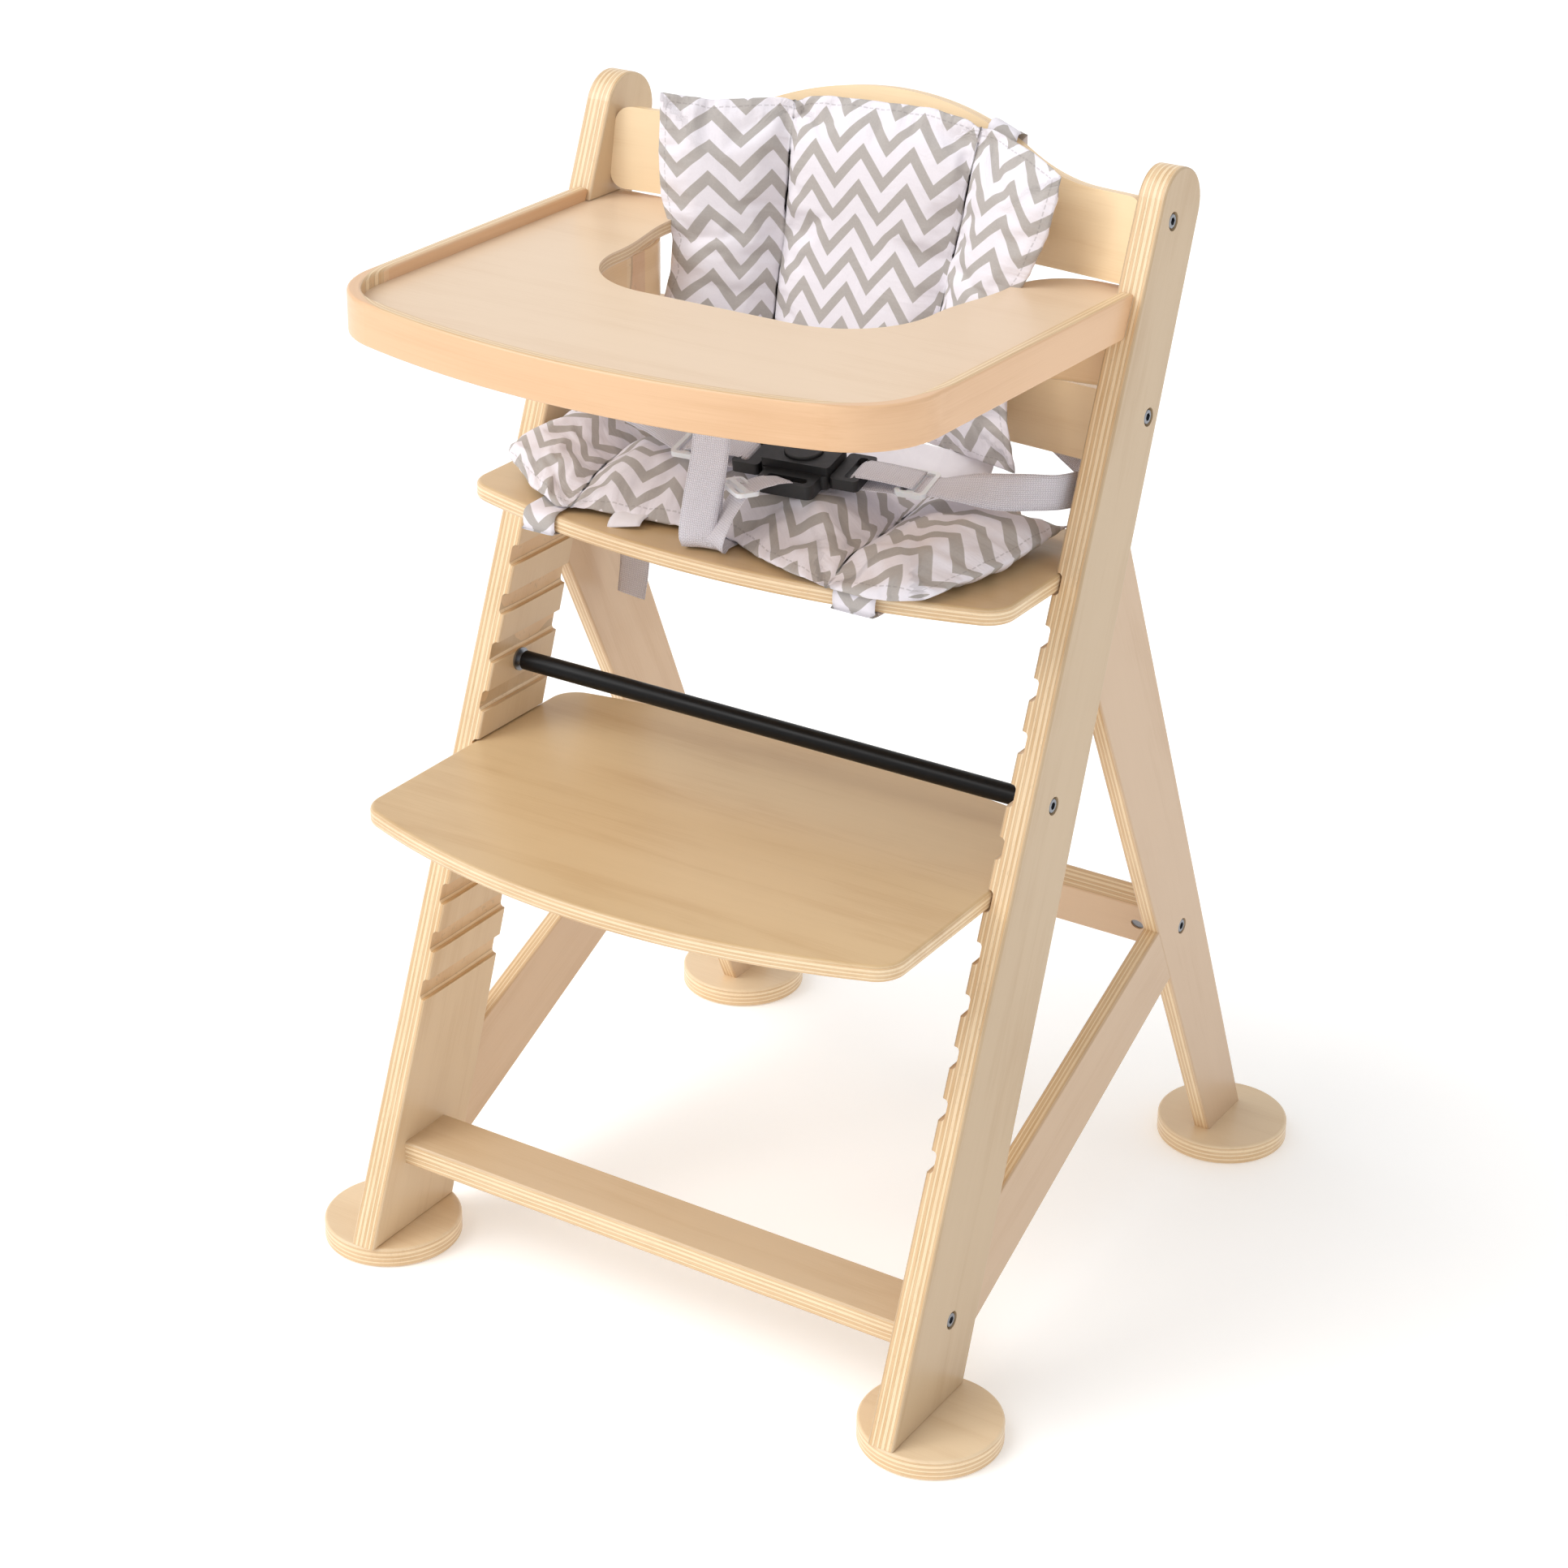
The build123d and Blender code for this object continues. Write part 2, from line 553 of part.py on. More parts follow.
seat_loop("seat_loop_left", -150, -116)
seat_loop("seat_loop_right", 100, 136)

with BuildPart() as back_loop:
    with BuildSketch(Plane(origin=(78, *UPPER_BOLT), x_dir=back_dir, z_dir=(1, 0, 0))):
        with Locations((21.65, -3.35)):
            RectangleRounded(17.3, 90.3, 2)
            RectangleRounded(15.7, 88.7, 1.2, mode=Mode.SUBTRACT)
    extrude(amount=22)
write("back_loop", back_loop)

with BuildPart() as cushion_bridge:
    with Locations((0, 13.6, 585)):
        Box(250, 1.6, 30)
write("cushion_bridge", cushion_bridge)

with BuildPart() as cushion_label:
    with Locations((-72, -128, 570)):
        Box(24, 8, 1.0)
write("cushion_label", cushion_label)

# ---- buckle: body, sprung push button, two tongues ----
BUCKLE = Plane(origin=(31, -70, 613.0), x_dir=(0.9926, 0.1213, 0.0), z_dir=(0.020, -0.165, 0.986))
BODY_HALF = 25.0
BUTTON_R = 13.0
PRESS = 2.5


def in_buckle(x, y, z):
    return Plane(origin=BUCKLE.from_local_coords((x, y, z)), x_dir=BUCKLE.x_dir, z_dir=BUCKLE.z_dir)


with BuildPart() as buckle_body:
    with BuildSketch(in_buckle(0, 0, -8)):
        RectangleRounded(2 * BODY_HALF, 36, 6)
        with Locations((0, -24)):
            RectangleRounded(40, 20, 5)
    extrude(amount=16)
    with BuildSketch(in_buckle(0, -27, -8)):
        RectangleRounded(29, 6, 2.5)
    extrude(amount=16, mode=Mode.SUBTRACT)
    with BuildSketch(in_buckle(0, -26, 2)):
        Rectangle(60, 20)
    extrude(amount=10, mode=Mode.SUBTRACT)
    with BuildSketch(in_buckle(0, 1, 2)):
        Circle(BUTTON_R + 0.5)
    extrude(amount=8, mode=Mode.SUBTRACT)
    for s in (1, -1):
        with BuildSketch(in_buckle(s * 19.5, 0, -5)):
            Rectangle(18, 23)
        extrude(amount=6, mode=Mode.SUBTRACT)
write("buckle_body", buckle_body)

with BuildPart() as buckle_button:
    with BuildSketch(in_buckle(0, 1, 5.2)):
        Circle(BUTTON_R)
    extrude(amount=5)
    fillet(buckle_button.edges().filter_by(GeomType.CIRCLE), 0.9)
write("buckle_button", buckle_button)

with BuildPart() as button_spring:
    with BuildSketch(in_buckle(0, 1, 2.0)):
        Circle(4.6)
        Circle(3.6, mode=Mode.SUBTRACT)
    extrude(amount=3.2)
write("button_spring", button_spring)

for side, s in (("right", 1), ("left", -1)):
    with BuildPart() as tongue:
        with BuildSketch(in_buckle(s * 36, 0, -5.5)):
            RectangleRounded(20, 36, 3)
        extrude(amount=8)
        with BuildSketch(in_buckle(s * 38, 0, -6)):
            RectangleRounded(6, 28, 2)
        extrude(amount=10, mode=Mode.SUBTRACT)
        with BuildSketch(in_buckle(s * 20, 0, -4.4)):
            Rectangle(14, 21)
        extrude(amount=4.8)
    write("buckle_tongue_" + side, tongue)

# ---- webbing doubled between tongue and adjuster, and the adjusters ----
TONGUE_END = 47.0
ADJ_AT = 82.0
for side, s in (("right", 1), ("left", -1)):
    with BuildPart() as doubled:
        with BuildSketch(in_buckle(s * (TONGUE_END + ADJ_AT - 12) / 2, 0, -3.9)):
            Rectangle(ADJ_AT - 12 - TONGUE_END, WEB_W)
        extrude(amount=4.4)
    write("strap_doubled_" + side, doubled)
    with BuildPart() as adjuster:
        with BuildSketch(in_buckle(s * ADJ_AT, 0, -3.4)):
            RectangleRounded(22, 33, 4)
            with Locations((-5, 0), (5, 0)):
                RectangleRounded(5.5, 26.5, 1.5, mode=Mode.SUBTRACT)
        extrude(amount=3.6)
    write("strap_adjuster_" + side, adjuster)


# ---- belt webbing ----
BELT_Z = 607.0
BELT_X = 202.5
for side, s in (("right", 1), ("left", -1)):
    adj = BUCKLE.from_local_coords((s * (ADJ_AT + 13.5), 0, 0))
    if s > 0:
        path = [(adj.X, adj.Y), (186, -38), (201.5, -27), (BELT_X, -16)]
    else:
        path = [(adj.X, adj.Y), (-100, -54), (-150, -41), (-190, -32), (-201.5, -24), (-BELT_X, -16)]
    with BuildPart() as back_run:      # lies on the lower backrest's back, down to its end
        with BuildSketch(leaning(*LOWER_BOLT, "up")):
            with BuildLine():
                bent_band(INNER, 17.5, WEB_T, front=BACK_T / 2 + 0.4)
            make_face()
        extrude(amount=90, both=True)
        with BuildSketch(leaning(*LOWER_BOLT, "child")):
            with BuildLine():
                Polyline((0, -2), (s * 128, -2), (s * 204, -37.6), (s * 204, -65),
                         (s * 134, -26.5), (0, -26.5), close=True)
            make_face()
        extrude(amount=90, both=True, mode=Mode.INTERSECT)
    with BuildPart() as waist:
        with BuildSketch(Plane.XY.offset(BELT_Z)):
            with BuildLine():
                Polyline(*path)
            trace(line_width=WEB_T)
        extrude(amount=WEB_W)
        with BuildSketch(Plane.YZ.offset(s * BELT_X)):
            with BuildLine():
                Polyline((-24, BELT_Z + WEB_W), (0, 628), (29, 612.8), (41.5, 611.6),
                         (41.5, 587.5), (29, 588.6), (0, 603.6), (-24, BELT_Z), close=True)
            make_face()
        extrude(amount=WEB_T / 2, both=True)
        add(back_run.part)
        if s < 0:
            with Locations((-189, 44.0, 517)):
                Box(WEB_W, WEB_T, 184)
    write("waist_strap_" + side, waist)

# crotch strap: under the cushion, up and folded back down, and a strand that rises to the buckle
STRAND = Plane(origin=(5, -138, 0), x_dir=(0.542, 0.841, 0), z_dir=(0.841, -0.542, 0))
with BuildPart() as crotch_strap:
    with BuildSketch(Plane.YZ.offset(-12)):
        with BuildLine():
            Polyline((46, 565.7), (-138.5, 565.7), (-141.4, 569), (-141.4, 655), (-140, 660),
                     (-137.5, 661.5), (-135, 660), (-133.8, 655), (-134.5, 600), (-136, 574))
        trace(line_width=WEB_T)
    extrude(amount=WEB_W)
    with BuildSketch(STRAND):
        with BuildLine():
            Polyline((0.5, 565.7), (3.6, 572), (4, 594), (8, 601), (14, 603.2), (25, 604))
        trace(line_width=WEB_T)
    extrude(amount=WEB_W / 2, both=True)
write("crotch_strap", crotch_strap)

with BuildPart() as crotch_slider:
    with BuildSketch(Plane(origin=(14, -122.5, 606.4), x_dir=(0.841, -0.542, 0), z_dir=(0, 0, 1))):
        RectangleRounded(32, 17, 4)
        with Locations((0, -4), (0, 4)):
            RectangleRounded(26, 4.2, 1.5, mode=Mode.SUBTRACT)
    extrude(amount=3)
write("crotch_slider", crotch_slider)
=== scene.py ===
import math
import bpy
from mathutils import Matrix, Vector, noise


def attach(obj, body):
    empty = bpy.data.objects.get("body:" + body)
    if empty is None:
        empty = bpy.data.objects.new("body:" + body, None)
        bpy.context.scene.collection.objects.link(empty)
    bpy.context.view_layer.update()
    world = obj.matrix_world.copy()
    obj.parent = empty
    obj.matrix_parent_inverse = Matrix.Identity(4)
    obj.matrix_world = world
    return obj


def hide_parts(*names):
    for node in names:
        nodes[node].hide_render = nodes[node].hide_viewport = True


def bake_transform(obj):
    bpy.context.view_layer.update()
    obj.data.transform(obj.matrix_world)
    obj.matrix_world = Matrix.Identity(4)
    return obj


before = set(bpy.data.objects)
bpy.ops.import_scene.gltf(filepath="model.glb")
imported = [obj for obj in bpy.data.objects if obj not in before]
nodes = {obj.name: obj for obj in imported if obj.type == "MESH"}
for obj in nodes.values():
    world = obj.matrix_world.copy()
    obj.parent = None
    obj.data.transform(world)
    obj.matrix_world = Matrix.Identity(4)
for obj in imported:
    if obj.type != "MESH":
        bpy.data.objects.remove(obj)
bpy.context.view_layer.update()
MM = 0.001
scene = bpy.context.scene
scene.view_settings.view_transform = "Standard"
scene.view_settings.look = "None"


# ---------------------------------------------------------------- camera, floor and light
CAMERA_AZIMUTH, CAMERA_ELEVATION, CAMERA_ROLL = 30.825, 22.582, 1.18  # degrees
CAMERA_TARGET = (0.0, 0.0745, 0.4597)
CAMERA_DISTANCE = 2.4503
CAMERA_LENS = 78.17
CAMERA_SHIFT = (-0.0569, -0.1201)


def make_camera():
    az, el, roll = (math.radians(a) for a in (CAMERA_AZIMUTH, CAMERA_ELEVATION, CAMERA_ROLL))
    fwd = Vector((-math.sin(az) * math.cos(el), math.cos(az) * math.cos(el), -math.sin(el)))
    right = Vector((math.cos(az), math.sin(az), 0))
    up = right.cross(fwd)
    r = right * math.cos(roll) + up * math.sin(roll)
    u = up * math.cos(roll) - right * math.sin(roll)
    data = bpy.data.cameras.new("camera")
    data.sensor_width = 36
    data.lens = CAMERA_LENS
    data.shift_x, data.shift_y = CAMERA_SHIFT
    data.clip_end = 50
    cam = bpy.data.objects.new("camera", data)
    place = Matrix.Translation(Vector(CAMERA_TARGET) - fwd * CAMERA_DISTANCE)
    cam.matrix_world = place @ Matrix((r, u, -fwd)).transposed().to_4x4()
    scene.collection.objects.link(cam)
    scene.camera = cam


def area_light(name, at, look, size, power, color=(1, 1, 1)):
    data = bpy.data.lights.new(name, "AREA")
    data.shape = "DISK"
    data.size = size
    data.energy = power
    data.color = color
    lamp = bpy.data.objects.new(name, data)
    lamp.location = at
    lamp.rotation_euler = (Vector(look) - Vector(at)).to_track_quat("-Z", "Y").to_euler()
    scene.collection.objects.link(lamp)


make_camera()
# the sky is brightest at the horizon and fades towards the zenith: from and to Z, from and to strength
SKY_FADE = (0.22, 0.75, 0.94, 0.60)
world = bpy.data.worlds.new("studio")
scene.world = world
world.use_nodes = True
world.node_tree.nodes["Background"].inputs[0].default_value = (1, 1, 1, 1)
sky = world.node_tree.nodes.new("ShaderNodeTexCoord")
split = world.node_tree.nodes.new("ShaderNodeSeparateXYZ")
fade = world.node_tree.nodes.new("ShaderNodeMapRange")
fade.interpolation_type = "SMOOTHSTEP"
for i, v in enumerate(SKY_FADE, 1):
    fade.inputs[i].default_value = v
world.node_tree.links.new(sky.outputs["Generated"], split.inputs[0])
world.node_tree.links.new(split.outputs["Z"], fade.inputs[0])
world.node_tree.links.new(fade.outputs[0], world.node_tree.nodes["Background"].inputs[1])
sun = bpy.data.lights.new("softbox_wall", "SUN")
sun.energy = 1.55
sun.angle = math.radians(50)
sun.color = (1.0, 0.99, 0.975)
lamp = bpy.data.objects.new("softbox_wall", sun)
lamp.rotation_euler = Vector((-0.45, -0.52, 0.75)).to_track_quat("Z", "Y").to_euler()
scene.collection.objects.link(lamp)
area_light("strip", (-1.6, -1.9, 2.2), (0, 0, 0.5), 0.9, 9)


# ---------------------------------------------------------------- node helpers
class Graph:
    """A material, with short calls that add its nodes and link them."""

    def __init__(self, name, slot_color=(0.8, 0.8, 0.8)):
        self.mat = bpy.data.materials.new(name)
        self.mat.use_nodes = True
        self.mat.diffuse_color = (*slot_color, 1)
        self.tree = self.mat.node_tree
        self.bsdf = self.tree.nodes["Principled BSDF"]

    def new(self, kind, **props):
        n = self.tree.nodes.new(kind)
        for k, v in props.items():
            setattr(n, k, v)
        return n

    def put(self, socket, value):
        if isinstance(value, bpy.types.NodeSocket):
            self.tree.links.new(value, socket)
        else:
            socket.default_value = value

    def math(self, op, a, b=0.0, c=0.0):
        n = self.new("ShaderNodeMath", operation=op)
        for i, v in enumerate((a, b, c)):
            self.put(n.inputs[i], v)
        return n.outputs[0]

    def dot(self, vec, axis):
        n = self.new("ShaderNodeVectorMath", operation="DOT_PRODUCT")
        self.put(n.inputs[0], vec)
        n.inputs[1].default_value = axis
        return n.outputs["Value"]

    def join(self, x, y, z):
        n = self.new("ShaderNodeCombineXYZ")
        for i, v in enumerate((x, y, z)):
            self.put(n.inputs[i], v)
        return n.outputs[0]

    def place(self):
        """The point in millimetres in the object's own frame."""
        tc = self.new("ShaderNodeTexCoord")
        n = self.new("ShaderNodeVectorMath", operation="SCALE")
        self.put(n.inputs[0], tc.outputs["Object"])
        n.inputs["Scale"].default_value = 1000
        return n.outputs[0]

    def noise(self, vec, scale, detail=3.0, rough=0.5, distort=0.0):
        n = self.new("ShaderNodeTexNoise")
        self.put(n.inputs["Vector"], vec)
        n.inputs["Scale"].default_value = scale
        n.inputs["Detail"].default_value = detail
        n.inputs["Roughness"].default_value = rough
        n.inputs["Distortion"].default_value = distort
        return n.outputs["Fac"]

    def ramp(self, fac, stops, mode="LINEAR"):
        n = self.new("ShaderNodeValToRGB")
        n.color_ramp.interpolation = mode
        els = n.color_ramp.elements
        while len(els) > 1:
            els.remove(els[-1])
        els[0].position = stops[0][0]
        els[0].color = (*stops[0][1], 1)
        for p, c in stops[1:]:
            els.new(p).color = (*c, 1)
        self.put(n.inputs[0], fac)
        return n.outputs[0]

    def mix(self, fac, a, b, blend="MIX"):
        n = self.new("ShaderNodeMix", data_type="RGBA", blend_type=blend)
        self.put(n.inputs[0], fac)
        for i, v in ((6, a), (7, b)):
            self.put(n.inputs[i], (*v, 1) if isinstance(v, tuple) else v)
        return n.outputs[2]

    def bump(self, height, strength, distance):
        n = self.new("ShaderNodeBump")
        n.inputs["Strength"].default_value = strength
        n.inputs["Distance"].default_value = distance
        self.put(n.inputs["Height"], height)
        self.put(self.bsdf.inputs["Normal"], n.outputs[0])

    def shader(self, **values):
        for k, v in values.items():
            self.put(self.bsdf.inputs[k.replace("_", " ")], v)


def srgb(r, g, b):
    return tuple(((c / 255 + 0.055) / 1.055) ** 2.4 if c > 10 else c / 3294 for c in (r, g, b))


# ---------------------------------------------------------------- plywood
X_AXIS, Y_AXIS, Z_AXIS = (1, 0, 0), (0, 1, 0), (0, 0, 1)
HALF_INSIDE = 208.5  # mm from the middle to an upright's inner face
LEAN = math.radians(10)
LEAN_UP, LEAN_BACK = (0, math.sin(LEAN), math.cos(LEAN)), (0, math.cos(LEAN), -math.sin(LEAN))
UPPER_AT, LOWER_AT = (0, 62.0, 780.1), (0, 40.6, 651.8)  # middle of each backrest
UPPER_SAG, LOWER_SAG = 29, 17.5
# relative thickness of the plies, from the outer face inwards
PLIES = (1.0, 1.5, 1.1, 1.7, 1.2, 1.4, 1.9, 1.1, 1.6, 1.2, 1.5, 1.0, 1.4)


def plywood(name, face, depth, thick, plies, grain, across, light=srgb(238, 214, 178),
            dark=srgb(208, 168, 120), figure=0.7):
    """Veneered board. depth(g, p) is the distance in mm from one face, through the plies."""
    g = Graph(name, face)
    p = g.place()
    d = g.math("DIVIDE", depth(g, p), thick)
    along, over = g.dot(p, grain), g.dot(p, across)
    # the edge: plies of uneven thickness, wavering a little along the board
    waver = g.noise(g.join(g.math("MULTIPLY", along, 0.012), g.math("MULTIPLY", over, 0.012), 0.0), 1.0)
    d2 = g.math("ADD", d, g.math("MULTIPLY", g.math("SUBTRACT", waver, 0.5), 0.06))
    total = sum(PLIES[:plies])
    stops, t = [(0.0, face)], 0.0
    for i in range(plies - 1):
        t += PLIES[i] / total
        c = face if i + 1 == plies - 1 else (dark if i % 2 == 0 else light)
        stops.append((max(t - 0.006, 0.001), tuple(v * 0.66 for v in dark)))
        stops.append((min(t + 0.007, 0.999), c))
    edge = g.ramp(d2, stops, "CONSTANT")
    # the crosswise plies show short dark pores on the edge, and the glue lines come and go
    inside = g.math("LESS_THAN", g.math("ABSOLUTE", g.math("SUBTRACT", d, 0.5)), 0.43)
    pore = g.noise(g.join(g.math("MULTIPLY", along, 0.22), g.math("MULTIPLY", over, 0.22),
                          g.math("MULTIPLY", d, 34.0)), 1.0, 3.0, 0.7)
    pit = g.math("MULTIPLY", inside, g.math("GREATER_THAN", pore, 0.615))
    edge = g.mix(g.math("MULTIPLY", pit, 0.42), edge, tuple(v * 0.55 for v in dark))
    fade = g.noise(g.join(g.math("MULTIPLY", along, 0.03), g.math("MULTIPLY", over, 0.03),
                          g.math("MULTIPLY", d, 9.0)), 1.0, 2.0)
    edge = g.mix(g.math("MULTIPLY", inside, g.math("MULTIPLY", fade, 0.75)), edge, light)
    # figure of the face veneer: long soft streaks, finer fibres, a few cloudy patches
    streak = g.noise(g.join(g.math("MULTIPLY", along, 0.0035), g.math("MULTIPLY", over, 0.05),
                            g.math("MULTIPLY", d, 0.4)), 1.0, 4.0, 0.62, 0.35)
    fibre = g.noise(g.join(g.math("MULTIPLY", along, 0.02), g.math("MULTIPLY", over, 0.9),
                           g.math("MULTIPLY", d, 3.0)), 1.0, 2.0, 0.6)
    cloud = g.noise(g.join(g.math("MULTIPLY", along, 0.008), g.math("MULTIPLY", over, 0.016), d), 1.0, 2.0)
    tone = g.math("ADD", g.math("MULTIPLY", g.math("SUBTRACT", streak, 0.5), 0.42 * figure),
                  g.math("ADD", g.math("MULTIPLY", g.math("SUBTRACT", fibre, 0.5), 0.11),
                         g.math("MULTIPLY", g.math("SUBTRACT", cloud, 0.5), 0.30 * figure)))
    shade = g.ramp(g.math("ADD", tone, 0.5), [(0.28, (0.80, 0.70, 0.58)), (0.5, (1.0, 1.0, 1.0)),
                                              (0.75, (1.07, 1.09, 1.12))])
    color = g.mix(1.0, edge, shade, "MULTIPLY")
    g.shader(Base_Color=color, Roughness=0.36, Coat_Weight=0.18, Coat_Roughness=0.22, IOR=1.45)
    g.bump(g.math("ADD", g.math("MULTIPLY", fibre, 0.4), streak), 0.06, 0.0006)
    return g.mat


def sided(start):
    """Distance outward from the planes x = start and x = -start."""
    return lambda g, p: g.math("SUBTRACT", g.math("ABSOLUTE", g.dot(p, X_AXIS)), start)


def level(start):
    """Distance upward from the plane z = start."""
    return lambda g, p: g.math("SUBTRACT", g.dot(p, Z_AXIS), start)


def wear(name, mat):
    ob = nodes[name]
    ob.data.materials.clear()
    ob.data.materials.append(mat)


UP_DIR, UP_OVER = (0, 0.3486, 0.9373), (0, 0.9373, -0.3486)
LEG_DIR, LEG_OVER = (0, -0.4258, 0.9048), (0, 0.9048, 0.4258)
BRACE_DIR, BRACE_OVER = (0, 0.9084, 0.4180), (0, -0.4180, 0.9084)
BIRCH = srgb(208, 182, 148)
LEGWOOD = srgb(214, 184, 151)
PLATE = srgb(209, 180, 138)
TRAY = srgb(230, 204, 175)
RIM = srgb(226, 185, 145)
BACKREST = srgb(252, 226, 186)

# The same birch is painted in lit and shaded copies: darker on the right-hand uprights, legs and braces, which face
# away from the sun, as painted shade, and lighter on the left-hand ones, as painted light.
for side, up, low in (("left", srgb(216, 190, 155), LEGWOOD), ("right", srgb(198, 173, 140), srgb(203, 174, 143))):
    wear("upright_" + side, plywood("upright_ply_" + side, up, sided(HALF_INSIDE), 20, 11, UP_DIR, UP_OVER, figure=0.9))
    wear("rear_leg_" + side, plywood("leg_ply_" + side, low, sided(212), 13, 9, LEG_DIR, LEG_OVER))
    wear("side_brace_" + side, plywood("brace_ply_" + side, low, sided(212), 13, 9, BRACE_DIR, BRACE_OVER))
ply_disc = plywood("disc_ply", srgb(230, 205, 170), level(0), 15, 9, X_AXIS, Y_AXIS)
for corner in ("front_left", "front_right", "rear_left", "rear_right"):
    wear("foot_disc_" + corner, ply_disc)
wear("front_crossbar", plywood("bar_ply", BIRCH, level(67.5), 18, 11, X_AXIS, Y_AXIS))
BAR = (0, math.cos(math.radians(24.8)), math.sin(math.radians(24.8)))
wear("rear_crossbar", plywood(
    "rear_bar_ply", LEGWOOD,
    lambda g, p: g.math("SUBTRACT", g.dot(p, BAR), 148.3 * BAR[1] + 224.6 * BAR[2] - 10),
    20, 11, (1, 0, 0), (0, -BAR[2], BAR[1])))
wear("seat_plate", plywood("seat_ply", PLATE, level(552.5), 12, 9, X_AXIS, Y_AXIS, figure=1.0))
wear("foot_plate", plywood("foot_ply", PLATE, level(354.5), 12, 9, X_AXIS, Y_AXIS, figure=1.0))
wear("tray_board", plywood("tray_ply", TRAY, level(722), 9, 7, X_AXIS, Y_AXIS, figure=0.4))


def distance(g, x, y):
    return g.math("SQRT", g.math("ADD", g.math("POWER", x, 2.0), g.math("POWER", y, 2.0)))


RIM_CORNER = 62.0


def rim_depth(g, p):
    """Distance inward from the rim's outer face: two walls and a round corner."""
    x = g.math("ABSOLUTE", g.dot(p, X_AXIS))
    y = g.dot(p, Y_AXIS)
    side = g.math("SUBTRACT", g.math("MULTIPLY_ADD", y, 0.02128, 220.6), x)
    front = g.math("SUBTRACT", 610.6, distance(g, x, g.math("SUBTRACT", y, 313.1)))
    a = g.math("MAXIMUM", g.math("SUBTRACT", RIM_CORNER, side), 0.0)
    b = g.math("MAXIMUM", g.math("SUBTRACT", RIM_CORNER, front), 0.0)
    return g.math("SUBTRACT", RIM_CORNER, distance(g, a, b))


def bow_depth(g, p):
    """Distance outward from the bow's inner face."""
    x = g.math("ABSOLUTE", g.dot(p, X_AXIS))
    y = g.dot(p, Y_AXIS)
    qx = g.math("MAXIMUM", g.math("SUBTRACT", x, 58.0), 0.0)
    qy = g.math("MAXIMUM", g.math("SUBTRACT", -65.5, y), 0.0)
    round_part = g.math("SUBTRACT", distance(g, qx, qy), 65.0)
    dx, dy = g.math("SUBTRACT", x, 185.0), g.math("ADD", y, 30.0)
    turn = g.math("SUBTRACT", 60.0, distance(g, dx, dy))
    run_out = g.math("MULTIPLY_ADD", dx, 0.1736, g.math("MULTIPLY_ADD", dy, -0.9848, 60.0))
    beyond = g.math("GREATER_THAN", g.math("MULTIPLY_ADD", dx, 0.9848, g.math("MULTIPLY", dy, 0.1736)), 0.0)
    turn = g.math("ADD", g.math("MULTIPLY", beyond, run_out),
                  g.math("MULTIPLY", g.math("SUBTRACT", 1.0, beyond), turn))
    behind = g.math("GREATER_THAN", y, -30.0)
    return g.math("ADD", g.math("MULTIPLY", behind, turn),
                  g.math("MULTIPLY", g.math("SUBTRACT", 1.0, behind), round_part))


def bent_depth(at, sag, front=-6.0):
    """Distance from the front face of a leaning bent backrest."""
    def depth(g, p):
        x = g.math("DIVIDE", g.dot(p, X_AXIS), HALF_INSIDE)
        bow = g.math("MULTIPLY", g.math("SUBTRACT", 1.0, g.math("MULTIPLY", x, x)), sag)
        face = at[1] * LEAN_BACK[1] + at[2] * LEAN_BACK[2] + front
        return g.math("SUBTRACT", g.math("SUBTRACT", g.dot(p, LEAN_BACK), face), bow)
    return depth


wear("tray_rim", plywood("rim_ply", RIM, rim_depth, 9.5, 7, (0.7, 0.7, 0), Z_AXIS, light=srgb(240, 214, 176)))
wear("safety_bow", plywood("bow_ply", srgb(232, 196, 150), bow_depth, 10, 7, (0.7, 0.7, 0), Z_AXIS,
                           dark=srgb(212, 160, 118)))
for where, shape in (("upper", bent_depth(UPPER_AT, UPPER_SAG, -8.0)), ("lower", bent_depth(LOWER_AT, LOWER_SAG))):
    wear(where + "_backrest", plywood(where + "_back_ply", BACKREST, shape, 12, 9, X_AXIS, LEAN_UP,
                                      light=srgb(252, 226, 182), dark=srgb(226, 176, 118)))


# ---------------------------------------------------------------- metal and plastic
def plain(name, color, **values):
    g = Graph(name, color)
    g.shader(Base_Color=(*color, 1), **values)
    return g.mat


def worked(name, color, tone, grain, rough, relief, **values):
    """A metal, lacquer or moulded surface with a fine grain and slightly uneven gloss."""
    g = Graph(name, color)
    p = g.place()
    fine, broad = g.noise(p, grain, 3.0, 0.6), g.noise(p, grain * 0.08, 2.0)
    pale = tuple(c * (1 + tone) + 0.004 for c in color)
    g.shader(Base_Color=g.mix(g.math("MULTIPLY_ADD", fine, 0.6, g.math("MULTIPLY", broad, 0.4)), color, pale),
             Roughness=g.math("MULTIPLY_ADD", broad, rough * 0.5, rough * 0.75), **values)
    g.bump(fine, 0.5, relief)
    return g.mat


zinc = worked("zinc", (0.19, 0.20, 0.22), 0.7, 1.4, 0.34, 0.00006, Metallic=1.0)
black_gloss = worked("black_enamel", (0.002, 0.002, 0.0025), 0.6, 0.5, 0.36, 0.00002, IOR=1.26)
black_plastic = worked("black_plastic", (0.011, 0.011, 0.012), 0.6, 2.6, 0.42, 0.00008, IOR=1.46)
white_plastic = worked("white_plastic", (0.80, 0.80, 0.83), 0.05, 1.6, 0.32, 0.00004, Subsurface_Weight=0.12)
for n in ("tube_end_inserts", "tube_washers", "backrest_bolts", "tube_bolts", "front_crossbar_bolts",
          "rear_crossbar_bolts", "crossbar_barrel_nuts", "backrest_insert_nuts", "foot_screws", "button_spring"):
    wear(n, zinc)
wear("tension_tube", black_gloss)
for n in ("buckle_body", "buckle_button", "buckle_tongue_left", "buckle_tongue_right"):
    wear(n, black_plastic)
for n in ("crotch_slider", "strap_adjuster_left", "strap_adjuster_right"):
    wear(n, white_plastic)
